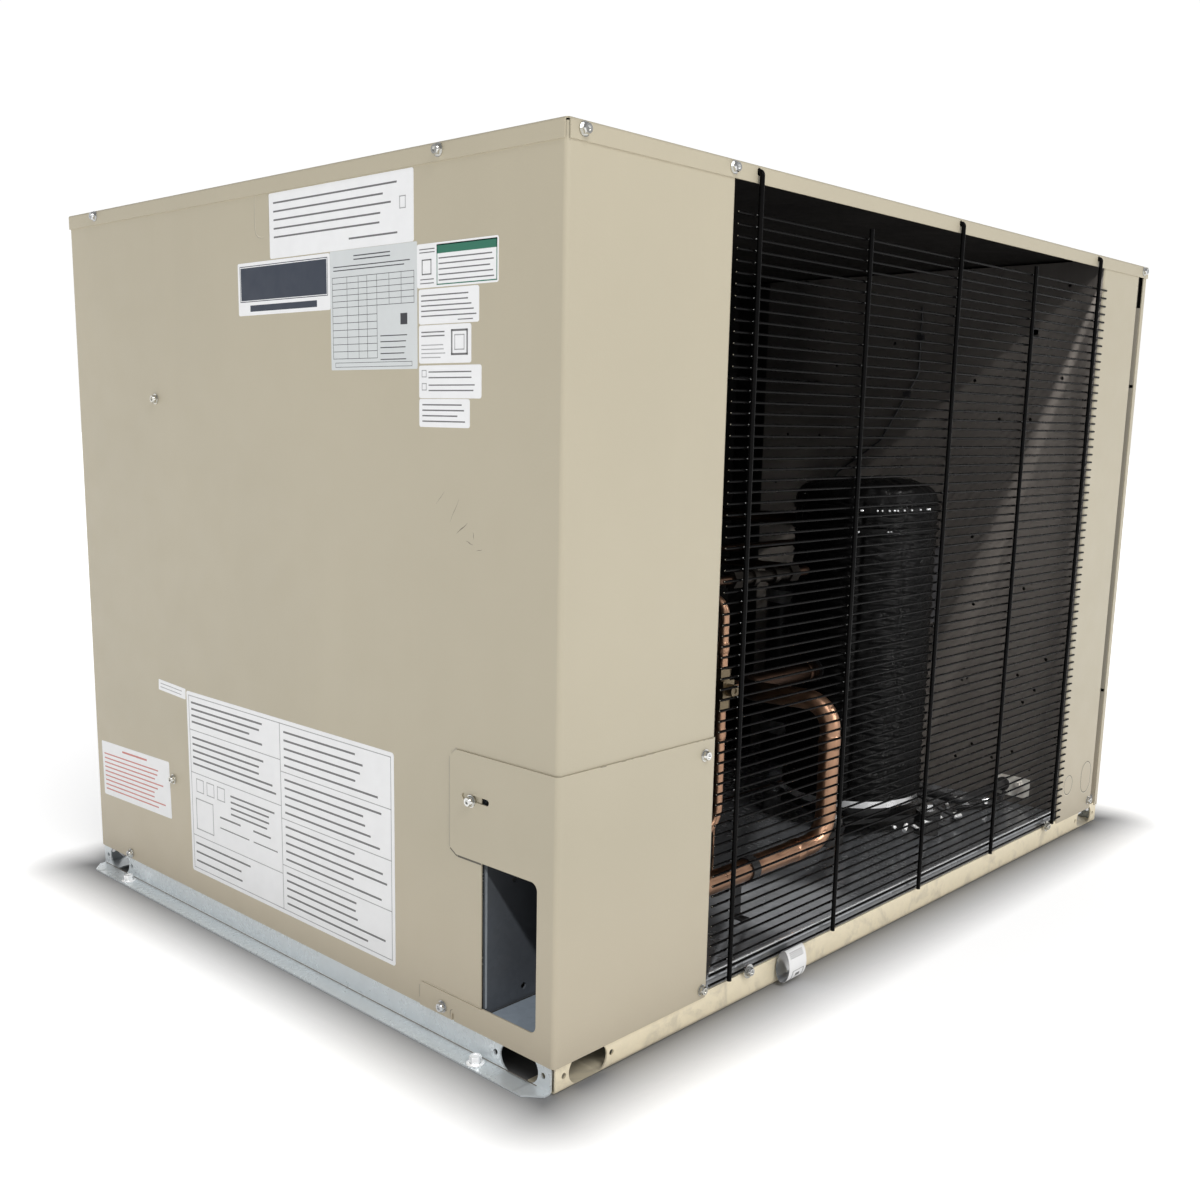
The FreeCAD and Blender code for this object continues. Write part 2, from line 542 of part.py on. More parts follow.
def blade(k):
    stations = ((58.0, 76.0, 27.0, 0.0), (100.0, 108.0, 24.5, 1.0), (150.0, 138.0, 21.5, 4.0), (200.0, 160.0, 18.5, 8.5), (R_FAN - 0.5, 168.0, 16.0, 14.0))
    n = 7
    grid = {}
    for si, (rad, ch, pit, skew) in enumerate(stations):
        for side in (-1, 1):
            for i in range(n):
                grid[(si, side, i)] = blade_point(rad, ch, pit, skew, -0.5 + i / (n - 1.0), side, 1.8)
    faces = []

    def tri(a, b, c):
        faces.append(Part.Face(Part.makePolygon([a, b, c, a])))

    def quad(a, b, c, d):
        tri(a, b, c)
        tri(a, c, d)

    m = len(stations)
    for si in range(m - 1):
        for i in range(n - 1):
            for side in (-1, 1):
                quad(grid[(si, side, i)], grid[(si + 1, side, i)], grid[(si + 1, side, i + 1)], grid[(si, side, i + 1)])
        for i in (0, n - 1):
            quad(grid[(si, -1, i)], grid[(si + 1, -1, i)], grid[(si + 1, 1, i)], grid[(si, 1, i)])
    for si in (0, m - 1):
        for i in range(n - 1):
            quad(grid[(si, -1, i)], grid[(si, -1, i + 1)], grid[(si, 1, i + 1)], grid[(si, 1, i)])
    sol = Part.makeSolid(Part.makeShell(faces))
    if sol.Volume < 0:
        sol.reverse()
    sol.translate(V(0, HUBY + 2.0, 0))
    sol.rotate(V(0, 0, 0), V(0, 1, 0), 90.0 * k)
    sol.translate(V(fx, 0, fz))
    return sol


arms = []
for k in range(4):
    ar = box(40, -1.0, -13, 132, 2.2, 13)
    ar.rotate(V(0, 0, 0), V(1, 0, 0), -25.0)
    ar.translate(V(0, HUBY + 2.0, 0))
    ar.rotate(V(0, 0, 0), V(0, 1, 0), 90.0 * k)
    ar.translate(V(fx, 0, fz))
    arms.append(ar)
BL = [blade(k) for k in range(4)]
add("fan_blades", comp(BL))
spider = cyl((fx, HUBY, fz), Y, 52.0, 3.2)
spider = fuse(spider, *arms).cut(cyl((fx, HUBY - 20, fz), Y, 19.05, 60)).cut(NODES["fan_blades"])
hubs = fuse(hub, spider).cut(cyl((fx, HUBY + 6, fz + 5), Z, 2.55, 20))
add("fan_hub", comp([hubs, sset]))


# ---------------------------------------------------------------- condenser coil
CX0, CX1 = 82.0, 1048.0          # tube sheets
CY0, CY1 = 692.0, 748.0
COLS = (734.0, 706.0)            # rear and front tube columns
ROW0, ROWP, NROW = 54.0, 25.0, 28
R_CT = 4.76
HX = 46.0                        # headers, beside the left tube sheet
tz = [ROW0 + ROWP * k for k in range(NROW)]
fin = box(CX0 + 4, CY0, 43.0, CX1 - 4, CY1, 741.0)
hl = [cyl((CX0, yy, zz), X, R_CT + 0.05, CX1 - CX0) for yy in COLS for zz in tz]
fin = fin.cut(comp(hl))
add("coil_fins", fin)


def ubend(x, y0, z0_, y1, z1_, d):
    """Half torus joining two tube ends at x; d is the side it stands out to."""
    a = V(x, y0, z0_)
    b = V(x, y1, z1_)
    c = (a + b) * 0.5
    ax = (b - a).normalize().cross(V(d, 0, 0))
    f = Part.Face(Part.Wire([Part.makeCircle(R_CT, a, V(1, 0, 0))]))
    return f.revolve(c, ax, -180)


tubes = []
stubs = []
for yy in COLS:
    for k, zz in enumerate(tz):
        x0 = CX0 - 3.0
        if k % 4 == 0:
            x0 = HX + (7.0 if yy == COLS[0] else 5.6)
        tubes.append(cyl((x0, yy, zz), X, R_CT, CX1 + 3.0 - x0))
for c in range(NROW // 4):
    k = 4 * c
    for yy in COLS:
        tubes.append(ubend(CX1 + 3.0, yy, tz[k], yy, tz[k + 1], 1))
        tubes.append(ubend(CX1 + 3.0, yy, tz[k + 2], yy, tz[k + 3], 1))
        tubes.append(ubend(CX0 - 3.0, yy, tz[k + 1], yy, tz[k + 2], -1))
    tubes.append(ubend(CX0 - 3.0, COLS[0], tz[k + 3], COLS[1], tz[k + 3], -1))
add("coil_tubes", comp(tubes))
ts = []
for xa, d in ((CX0, 1), (CX1, -1)):
    pts = [(xa - 18 * d, CY1 + 4), (xa, CY1 + 4), (xa, CY0 - 4), (xa - 18 * d, CY0 - 4)]
    if d > 0:
        sh = bent(pts, T_BASE, 1.6, (0, 0, Z_DECK + 0.1), X, Y, 704.0)
    else:
        sh = bent(pts[::-1], T_BASE, 1.6, (0, 0, Z_DECK + 0.1), X, Y, 704.0)
    sh = sh.cut(comp([cyl((xa - 8, yy, zz), X, R_CT + 0.1, 16) for yy in COLS for zz in tz]))
    ts.append(sh)
add("coil_tube_sheets", comp(ts))
hA = cyl((HX, COLS[0], 46), Z, R_DISC, 694.0)
hB = cyl((HX, COLS[1], 46), Z, 6.35, 694.0)
cutA = [cyl((HX, COLS[0], tz[4 * c]), X, R_CT + 0.02, 40) for c in range(NROW // 4)]
cutB = [cyl((HX, COLS[1], tz[4 * c]), X, R_CT + 0.02, 40) for c in range(NROW // 4)]
hA = hA.cut(comp([q.common(box(HX + 7.0, 600, 0, 99, 800, 800)) for q in cutA]))
hB = hB.cut(comp([q.common(box(HX + 5.6, 600, 0, 99, 800, 800)) for q in cutB]))
add("coil_headers", comp([hA, hB]))

# ---------------------------------------------------------------- compressor
kx, ky = COMP
sh = fuse(cyl((kx, ky, 92), Z, R_SHELL, 356), cyl((kx, ky, 66), Z, 62.0, 30))
sh = fuse(sh, Part.makeCone(62.0, R_SHELL, 16.0, V(kx, ky, 76.05), V(*Z)))
dome = Part.makeCone(R_SHELL, 49.0, 19.0, V(kx, ky, 447.9), V(*Z))
sh = fuse(sh, dome)
feet = []
GR = []
for q in (20, 110, 200, 290):
    a = math.radians(q)
    GR.append((kx + 98 * math.cos(a), ky + 98 * math.sin(a)))
plate = poly([(p[0], p[1]) for p in GR], (0, 0, 61.0), X, Y, 5.0)
rnd = [cyl((p[0], p[1], 61.0), Z, 17.0, 5.0) for p in GR]
plate = fuse(plate, *rnd)
plate = plate.cut(comp([cyl((p[0], p[1], 55), Z, 9.1, 20) for p in GR]))
sh = fuse(sh, plate)
# suction and discharge stubs are received in short spuds
ZS = 248.0
spS = cyl((kx - R_SHELL + 4, ky + 8, ZS), NX, 14.5, 12)
spD = cyl((kx + 6, ky + R_SHELL - 4, 420), Y, 11.0, 12)
sh = fuse(sh, spS, spD)
sh = sh.cut(comp([cyl((kx - R_SHELL - 16, ky + 8, ZS), X, R_SUCT + 0.03, 16), cyl((kx + 6, ky + R_SHELL - 4, 420), Y, R_DISC + 0.03, 20)]))
add("compressor_shell", sh)
RJI = R_SHELL + 0.4
m7 = 7.0 * math.cos(math.radians(45))
jp = [Part.LineSegment(V(RJI, 0, 93), V(R_JACKET, 0, 93)), Part.LineSegment(V(R_JACKET, 0, 93), V(R_JACKET, 0, 451)),
      Part.Arc(V(R_JACKET, 0, 451), V(R_JACKET - 7 + m7, 0, 451 + m7), V(R_JACKET - 7, 0, 458)),
      Part.LineSegment(V(R_JACKET - 7, 0, 458), V(52, 0, 476)), Part.Arc(V(52, 0, 476), V(29, 0, 479.3), V(6, 0, 480)),
      Part.LineSegment(V(6, 0, 480), V(6, 0, 475.5)), Part.Arc(V(6, 0, 475.5), V(28, 0, 474.9), V(50, 0, 471.6)),
      Part.LineSegment(V(50, 0, 471.6), V(RJI, 0, 452)), Part.LineSegment(V(RJI, 0, 452), V(RJI, 0, 93))]
jk = Part.Face(Part.Wire([q.toShape() for q in jp])).revolve(V(0, 0, 0), V(0, 0, 1), 360)
jk.translate(V(kx, ky, 0))
jk = jk.cut(comp([cyl((kx - 110, ky + 8, ZS), X, 16.0, 45), cyl((kx + 6, ky + 60, 420), Y, 12.5, 45),
                  box(kx + 60, ky - 40, 285, kx + 95, ky + 40, 395)]))
add("compressor_jacket", jk)
band = Part.makeCylinder(R_SHELL + 3.2, 9.0, V(kx, ky, 83.4), V(*Z)).cut(Part.makeCylinder(R_SHELL + 0.1, 12.0, V(kx, ky, 82), V(*Z)))
clampb = box(kx - R_SHELL - 12, ky - 30, 83.4, kx - R_SHELL - 1.2 + 8, ky - 14, 92.4).cut(cyl((kx, ky, 80), Z, R_SHELL + 1.0, 20))
# cut only where the shell is full size
sh2 = NODES["compressor_shell"]
band = fuse(band, clampb).cut(sh2)
add("crankcase_heater", band)
gro, bol = [], []
for p in GR:
    g = fuse(cyl((p[0], p[1], 40.05), Z, 15.0, 20.9), cyl((p[0], p[1], 60.9), Z, 9.0, 5.2), cyl((p[0], p[1], 66.05), Z, 13.5, 4.0))
    gro.append(g.cut(cyl((p[0], p[1], 38), Z, 5.2, 40)))
    b = fuse(cyl((p[0], p[1], 33.0), Z, 4.0, 45.0), cyl((p[0], p[1], 70.1), Z, 10.0, 1.6), hexprism((p[0], p[1], 71.7), Z, 13.0, 6.5),
             hexprism((p[0], p[1], 38.3), NZ, 13.0, 5.0))
    bol.append(b)
add("compressor_grommets", comp(gro))
add("compressor_bolts", comp(bol))
NODES["base_deck"] = NODES["base_deck"].cut(comp([cyl((p[0], p[1], 30), Z, 4.1, 20) for p in GR]))
tb = box(kx + R_JACKET - 8, ky - 34, 291, kx + R_JACKET + 52, ky + 34, 389)
tb = tb.makeFillet(6.0, [e for e in tb.Edges if abs(e.BoundBox.XMin - (kx + R_JACKET + 52)) < 0.01 and abs(e.BoundBox.XMax - (kx + R_JACKET + 52)) < 0.01])
tb = tb.cut(cyl((kx, ky, 280), Z, R_SHELL + 0.3, 130)).cut(box(kx + R_JACKET + 2, ky - 31, 294, kx + R_JACKET + 49, ky + 31, 386))
tb = tb.cut(cyl((822, 170, 280), Z, 5.6, 18))
add("terminal_box", tb)

# ---------------------------------------------------------------- service valves in the chase
def service_valve(y, z, r_line, xb0, xb1, r_body):
    """Angle-free inline valve: sweat port to -X, line socket to +X, stem towards the front."""
    xm = (xb0 + xb1) / 2.0
    b = fuse(cyl((xb0, y, z), X, r_body, xb1 - xb0),
             cyl((xb0 - 24, y, z), X, r_line + 2.2, 24.1),
             cyl((xb1 - 0.1, y, z), X, r_line + 2.2, 16.1),
             cyl((xm, y + r_body - 8, z), NY, r_body * 0.72, 2 * r_body + 4),
             hexprism((xm, y - r_body - 1, z), NY, r_body * 1.55, 9.0))
    ye = y - r_body - 10
    b = fuse(b, cyl((xm, ye + 2, z), NY, r_body * 0.52, 12))
    b = b.cut(comp([cyl((xb0 - 30, y, z), X, r_line + 0.05, 30 + 8), cyl((xb1 - 8, y, z), X, r_line + 0.03, 40),
                    cyl((xb0, y, z), X, r_line * 0.7, xb1 - xb0), cyl((xm, y, z), NY, 3.05, 60), cyl((xm, y - r_body * 0.3, z), NY, 5.5, 6.0)]))
    stem = fuse(cyl((xm, y - r_body * 0.3 - 1.0, z), NY, 3.0, abs(ye - y) + 12 - r_body * 0.3 + 2))
    tip = y - r_body * 0.3 - 1.0 - (abs(ye - y) + 12 - r_body * 0.3 + 2)
    sq = box(xm - 2.1, tip - 5, z - 2.1, xm + 2.1, tip + 0.1, z + 2.1)
    stem = fuse(stem, sq)
    return b, stem, (xm, tip)


sv, ss, s_tip = service_valve(60.0, 96.0, R_SUCT, 106.0, 150.0, 17.0)
lv, ls, l_tip = service_valve(60.0, 150.0, R_LIQ, 104.0, 132.0, 11.0)
add("suction_valve", sv)
add("suction_valve_stem", ss)
add("liquid_valve", lv)
add("liquid_valve_stem", ls)
vb = fuse(box(112, 76.5, 70, 144, 80.0, 190), box(112, 76.5, 70, 114.5, 86.9, 190), box(112, 84.4, 70, 144, 86.9, 78), box(112, 84.4, 182, 144, 86.9, 190))
vb = vb.cut(comp([cyl((0, 60, 96), X, 17.05, 300)]))
NODES["valve_bracket"] = vb

# ---------------------------------------------------------------- refrigerant lines
RCV = (868.0, 370.0)
suct = tube([(142.2, 60, 96), (474, 60, 96), (474, 60, ZS), (456, ky + 8, ZS), (kx - R_SHELL - 2, ky + 8, ZS)], R_SUCT, [32, 30, 28], 1.2)
add("suction_line", suct)
disc = tube([(kx + 6, ky + R_SHELL - 2, 420), (kx + 6, 420, 420), (kx + 6, 420, 66), (120, 420, 66), (120, 640, 66), (15, 640, 66), (15, COLS[0], 66), (HX - R_DISC + 0.3, COLS[0], 66)],
            R_DISC, [30, 30, 30, 30, 24, 22, 10.9], 1.0)
add("discharge_line", disc.cut(NODES["coil_headers"]))
ret = tube([(HX, COLS[1] - 6.0, 118), (HX, 655, 118), (160, 655, 118), (160, 440, 118), (RCV[0], 440, 118), (RCV[0], 419.0, 118)], R_LIQ + 1.6, [20, 20, 24, 12], 0.9)
rcv = fuse(cyl((RCV[0], RCV[1], 70), Z, 50.0, 250), Part.makeSphere(50.0, V(RCV[0], RCV[1], 70)).common(box(RCV[0] - 60, RCV[1] - 60, 56, RCV[0] + 60, RCV[1] + 60, 70.1)),
           Part.makeCone(50.0, 34.0, 14.0, V(RCV[0], RCV[1], 319.9), V(*Z)))
rcv = fuse(rcv, cyl((RCV[0], RCV[1], 333), Z, 9.0, 12))
rcv = rcv.cut(cyl((RCV[0], RCV[1], 330), Z, R_LIQ + 0.02, 30))
rcv = rcv.cut(cyl((RCV[0], 430, 118), NY, R_LIQ + 1.62, 22))
add("receiver", rcv)
add("condenser_outlet_line", ret.cut(NODES["coil_headers"]).cut(rcv))
rb = []
for zc in (100.0, 290.0):
    b1 = cyl((RCV[0], RCV[1], zc), Z, 52.0, 18).cut(cyl((RCV[0], RCV[1], zc - 1), Z, 50.05, 20))
    b1 = fuse(b1, box(RCV[0] + 38, RCV[1] - 30, zc, X_BAY - 0.1, RCV[1] - 27, zc + 18), box(RCV[0] + 38, RCV[1] + 27, zc, X_BAY - 0.1, RCV[1] + 30, zc + 18),
              box(X_BAY - 2.1, RCV[1] - 30, zc, X_BAY - 0.1, RCV[1] + 30, zc + 18))
    b1 = b1.cut(cyl((RCV[0], RCV[1], zc - 1), Z, 50.05, 20))
    rb.append(b1)
stand = cyl((RCV[0], RCV[1], Z_DECK + 0.05), Z, 36.0, 15.9).cut(cyl((RCV[0], RCV[1], Z_DECK), Z, 33.0, 20))
rb.append(stand)
rbs = comp(rb).cut(NODES["condenser_outlet_line"])
add("receiver_brackets", rbs)
ZL = 376.0
liq1 = tube([(RCV[0], RCV[1], 334), (RCV[0], RCV[1], ZL), (560, RCV[1], ZL), (560, 150, ZL), (514, 150, ZL)], R_LIQ, [18, 24, 20], 0.8)
add("receiver_outlet_line", liq1)
sg = fuse(cyl((416, 150, ZL), X, 6.4, 98), hexprism((406, 150, ZL), X, 17.0, 15.0), hexprism((509, 150, ZL), X, 17.0, 15.0),
          cyl((440, 150, ZL), X, 9.5, 8.0), cyl((478, 150, ZL), X, 9.5, 8.0))
sg = sg.cut(comp([cyl((400, 150, ZL), X, R_LIQ + 0.02, 14.0), cyl((514, 150, ZL), X, R_LIQ + 0.02, 14.0)]))
add("filter_drier", sg)
liq2 = tube([(413.9, 150, ZL), (281, 150, ZL), (281, 60, ZL), (281, 60, 150), (124.2, 60, 150)], R_LIQ, [20, 16, 24], 0.8)
add("liquid_line", liq2)
mv = fuse(box(272.5, 52, 281, 289.5, 68, 299), hexprism((281, 60, 299), Z, 15.0, 11.0), hexprism((281, 60, 281), NZ, 15.0, 11.0), cyl((281, 53, 290), NY, 6.0, 9), hexprism((289, 60, 290), X, 8.0, 7.0))
mv = mv.cut(comp([cyl((281, 60, 260), Z, R_LIQ + 0.02, 60), cyl((281, 45, 290), NY, 2.5, 4), cyl((290, 60, 290), X, 1.25, 10)]))
add("sight_glass", mv)
capi = tube([(290.5, 60, 290), (318, 60, 290), (318, 92, 290), (318, 92, 60), (318, 300, 60), (X_BAY - 14, 300, 60), (X_BAY - 14, 300, 330), (X_BAY + 21, 300, 330)], 1.2, [10, 12, 16, 16, 18, 14, 8])
add("capillary", capi)
NODES["chase_end"] = NODES["chase_end"].cut(comp([cyl((180, 60, 96), X, 13.0, 30), cyl((180, 60, 150), X, 7.0, 30)]))
lg = []
for zz, ri, ro in ((96.0, R_SUCT + 0.05, 12.95), (150.0, R_LIQ + 0.05, 6.95)):
    g1 = fuse(cyl((190.0, 60, zz), X, ro, 8.0), cyl((190.0, 60, zz), X, ro + 3.0, 2.9), cyl((194.65, 60, zz), X, ro + 3.0, 2.9))
    lg.append(g1.cut(cyl((185, 60, zz), X, ri, 20)))
cl = fuse(box(330, 71.6, 40.05, 342, 73.6, 96), box(330, 60, 40.05, 342, 73.6, 41.7)).cut(cyl((0, 60, 96), X, R_SUCT + 0.03, 600))
st = cyl((330, 60, 96), X, R_SUCT + 1.6, 12).cut(cyl((320, 60, 96), X, R_SUCT + 0.03, 40))
add("pipe_clamp", fuse(cl, st))

# ---------------------------------------------------------------- control gear
XP = X_BAY + T                    # inner face of the compartment wall
con = box(XP + 0.1, 180, 560, XP + 46, 256, 640)
con = con.cut(box(XP + 26, 203, 575, XP + 47, 233, 625))
con = con.cut(comp([box(XP + 34, y0, 559, XP + 47, y0 + 16, 570) for y0 in (183, 210, 237)] + [box(XP + 34, y0, 630, XP + 47, y0 + 16, 641) for y0 in (183, 210, 237)]))
add("contactor", con)
arm = fuse(box(XP + 32, 203.4, 575.4, XP + 45, 232.6, 624.6), box(XP + 44.9, 211, 585, XP + 50, 225, 615))
add("contactor_armature", arm)
tbk = box(XP + 0.1, 290, 650, XP + 20, 400, 676)
tbk = tbk.cut(comp([box(XP + 10, 294 + 18 * k, 649, XP + 21, 294 + 18 * k + 14, 657) for k in range(6)] + [box(XP + 10, 294 + 18 * k, 669, XP + 21, 294 + 18 * k + 14, 677) for k in range(6)]))
add("terminal_block", tbk)
tr = fuse(box(XP + 4, 60, 590, XP + 44, 130, 645), box(XP + 0.1, 44, 590, XP + 4.1, 146, 645)).cut(comp([cyl((XP - 5, y0, 617), X, 2.6, 20) for y0 in (51, 139)]))
add("transformer", fuse(tr, box(XP + 10, 74, 645, XP + 38, 116, 660), box(XP + 10, 74, 575, XP + 38, 116, 590)))
cpc = rrect(0, 0, 56, 36, (17.9, 17.9, 17.9, 17.9), (XP + 6, 76, 400), X, Y, 110)
cpc = fuse(cpc, box(XP + 16, 85, 509.9, XP + 17, 92, 518), box(XP + 48, 85, 509.9, XP + 49, 92, 518))
cst = rrect(-1.5, -1.5, 57.5, 37.5, (19.4, 19.4, 19.4, 19.4), (XP + 6, 76, 450), X, Y, 14).cut(rrect(-0.05, -0.05, 56.05, 36.05, (17.95, 17.95, 17.95, 17.95), (XP + 6, 76, 440), X, Y, 40))
cst = fuse(cst, box(XP + 0.1, 60, 450, XP + 1.6, 128, 464), box(XP + 0.1, 92, 450, XP + 8, 96, 464)).cut(rrect(-0.05, -0.05, 56.05, 36.05, (17.95, 17.95, 17.95, 17.95), (XP + 6, 76, 440), X, Y, 40))
add("run_capacitor", comp([cpc, cst]))
pc = fuse(box(XP + 0.1, 262, 346, XP + 44, 352, 452), cyl((XP + 20, 280, 452), Z, 9.0, 8), cyl((XP + 20, 334, 452), Z, 9.0, 8), cyl((XP + 19.4, 300, 346.1), NZ, 14.0, 26.0))
pc = pc.cut(cyl((XP + 19.4 - 30, 300, 330), X, 1.25, 31))
add("pressure_control", pc)
bsh = fuse(cyl((X_BAY - 3.4, Y_CAB, Z_CAB), X, 9.5, 3.3), cyl((X_BAY - 3.0, Y_CAB, Z_CAB), X, 7.5, 8.0), cyl((XP + 0.1, Y_CAB, Z_CAB), X, 9.5, 2.9)).cut(cyl((X_BAY - 8, Y_CAB, Z_CAB), X, 5.6, 30))
add("grommets", comp(lg + [bsh]))
cab1 = tube([(822, 170, 300), (822, 170, Z_CAB), (822, Y_CAB, Z_CAB), (X_BAY + 42, Y_CAB, Z_CAB), (X_BAY + 42, Y_CAB, 300), (X_BAY + 42, 218, 300), (X_BAY + 42, 218, 568)], 5.5, [18, 16, 16, 16, 16])
cab2 = tube([(445, 468, 447.4), (445, 468, 600), (445, 404.5, 600), (X_BAY + 16, 404.5, 600), (X_BAY + 16, 391, 622), (X_BAY + 16, 391, 656)], 2.3, [16, 14, 7, 8])
cab3 = tube([(X_BAY + 41, 218, 631), (X_BAY + 41, 218, 700), (X_BAY + 41, 337, 700), (X_BAY + 16, 337, 700), (X_BAY + 16, 337, 670)], 2.3, [14, 12, 12])
cab4 = tube([(X_BAY + 49.7, 88.5, 518.2), (X_BAY + 49.7, 88.5, 545), (X_BAY + 41, 191, 545), (X_BAY + 41, 191, 569)], 2.3, [10, 10])
add("wiring_harness", comp([cab1, cab2, cab3, cab4]))

# ---------------------------------------------------------------- labels on the left panel (bare)
LAB = [(172, 379, 678, 735), (287, 434, 629.5, 677), (168, 285, 578, 677), (71, 168, 641, 675), (95, 166, 612.5, 640), (102, 166, 582, 612),
       (90, 166, 554.5, 580), (105, 166, 532, 554), (204, 560, 48, 248)]
labs = [box(-0.25, y0, z0_, -0.02, y1, z1_) for y0, y1, z0_, z1_ in LAB]
lt = box(-0.25, 562, 238.6, -0.02, 619, 250.0)
lt.rotate(V(0, 590, 245), V(1, 0, 0), 2.4)
lr = box(-0.25, 603, 93, -0.02, 761, 158)
lr.rotate(V(0, 682, 125), V(1, 0, 0), -1.6)
labs += [lt, lr]
add("label_plates", comp(labs))
a1 = box(324, -2.75, 12, 355, -2.4, 34.75)
a2 = box(324, 0.45, 6, 355, 0.8, 34.75)
a3 = box(324, -2.75, 34.4, 355, 0.8, 34.75)
add("loop_tag", fuse(a1, a2, a3))

# ---------------------------------------------------------------- screws
S = []
LP, AC, CV, PO, BD, FR, LR, RR, CA, RP, FPN, RL = ("left_panel", "access_cover", "top_cover", "front_post", "base_deck", "front_rail", "left_rail",
                                                   "right_rail", "control_access_panel", "right_rear_panel", "fan_panel", "rear_rail")
for yy, zz in ((712.3, 744.3), (139.4, 743.5)):
    S.append(screw((-E, yy, zz), NX, (CV, LP)))
    S.append(screw((W + E, yy, zz), X, (CV, RP if yy > 450 else CA)))
for xx, nd in ((15.4, LP), (190.6, LP), (1061.0, PO)):
    S.append(screw((xx, -E, 743.3), NY, (CV, nd), sl=12))
for xx, nd in ((15.4, LP), (W - 15.4, RP)):
    S.append(screw((xx, D + E, 743.3), Y, (CV, nd)))
S.append(screw((0, 599.1, 552.3), NX, (LP, FPN)))
S.append(screw((0, 594.4, 142.8), NX, (LP, FPN)))
S.append(screw((W, 599.1, 552.3), X, (RP, FPN)))
S.append(screw((W, 594.4, 142.8), X, (RP, FPN)))
S.append(screw((0, 700.6, 31.0), NX, (LP, LR, BD)))
S.append(screw((W, 700.6, 31.0), X, (RP, RR, BD)))
S.append(screw((W, 230.0, 31.0), X, (CA, RR, BD)))
S.append(screw((-E, 99.4, 227.6), NX, (AC, LP)))
S.append(screw((-E, 136.4, 33.0), NX, (AC, LP, LR, BD)))
S.append(screw((180.0, -E, 254.2), NY, (AC, LP)))
S.append(screw((187.0, -E, 33.0), NY, (AC, BD)))
S.append(screw((1039.8, 0, 37.2), NY, (PO, BD)))
for xx in (15.0, W - 15.0):
    S.append(screw((xx, D, 33.5), Y, ((LP if xx < 100 else RP), RL, BD)))
G = []
for xx in (256.9, 904.5):
    G.append(screw((xx, -2.35, 30.0), NY, (BD,), wr=7.0, sl=13.0))
for xx in (180.0, 898.0):
    G.append(screw((xx, D + 2.35, 30.0), Y, (RL, BD), wr=7.0, sl=13.0))
add("casing_screws", comp(S + G))

# clearance holes under the screws
for p, d, r, dep, names in HOLES:
    c = Part.makeCylinder(r, dep + 6.0, p + d * 3.0, d * -1)
    for n in names:
        NODES[n] = NODES[n].cut(c)

# ---------------------------------------------------------------- export, origin at the centre of the box's bottom
os.makedirs("parts", exist_ok=True)
bbs = [s.BoundBox for s in NODES.values()]
cx = (min(b.XMin for b in bbs) + max(b.XMax for b in bbs)) / 2.0
cy = (min(b.YMin for b in bbs) + max(b.YMax for b in bbs)) / 2.0
cz = min(b.ZMin for b in bbs)
print("shift", cx, cy, cz, "size", max(b.XMax for b in bbs) - min(b.XMin for b in bbs), max(b.YMax for b in bbs) - min(b.YMin for b in bbs), max(b.ZMax for b in bbs) - cz)
for n in sorted(NODES):
    s = NODES[n].copy()
    bb = s.BoundBox
    print("%-22s valid %s solids %3d vol %10.0f  x %.1f %.1f y %.1f %.1f z %.1f %.1f" % (n, s.isValid(), len(s.Solids), s.Volume, bb.XMin, bb.XMax, bb.YMin, bb.YMax, bb.ZMin, bb.ZMax))
    s.translate(V(-cx, -cy, -cz))
    if len(s.Solids) == 1:
        s = s.Solids[0]
    else:
        s = Part.makeCompound(s.Solids)
    s.exportStep("parts/%s.step" % n)
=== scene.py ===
import json
import math
import random

import bmesh
import bpy
from mathutils import Matrix, Vector, noise


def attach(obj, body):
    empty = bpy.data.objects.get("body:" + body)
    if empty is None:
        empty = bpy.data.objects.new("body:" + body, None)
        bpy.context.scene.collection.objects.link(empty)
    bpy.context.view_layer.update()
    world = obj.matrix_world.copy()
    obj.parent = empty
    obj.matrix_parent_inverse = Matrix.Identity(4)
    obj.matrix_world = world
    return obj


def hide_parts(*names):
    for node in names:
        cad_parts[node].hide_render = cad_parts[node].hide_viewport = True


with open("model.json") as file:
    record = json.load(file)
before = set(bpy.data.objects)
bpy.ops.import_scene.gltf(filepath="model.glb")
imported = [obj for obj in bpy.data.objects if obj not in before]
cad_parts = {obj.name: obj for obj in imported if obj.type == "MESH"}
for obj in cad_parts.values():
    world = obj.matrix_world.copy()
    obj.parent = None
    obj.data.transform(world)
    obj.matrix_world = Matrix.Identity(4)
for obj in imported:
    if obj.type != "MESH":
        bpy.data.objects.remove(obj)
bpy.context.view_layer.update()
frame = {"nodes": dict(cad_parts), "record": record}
NODES = frame["nodes"]
RND = random.Random(7)

# body-frame millimetres to the row frame in metres
OX, OY = 539.0, 388.0


def P(x, y, z):
    return Vector(((x - OX) / 1000.0, (y - OY) / 1000.0, z / 1000.0))


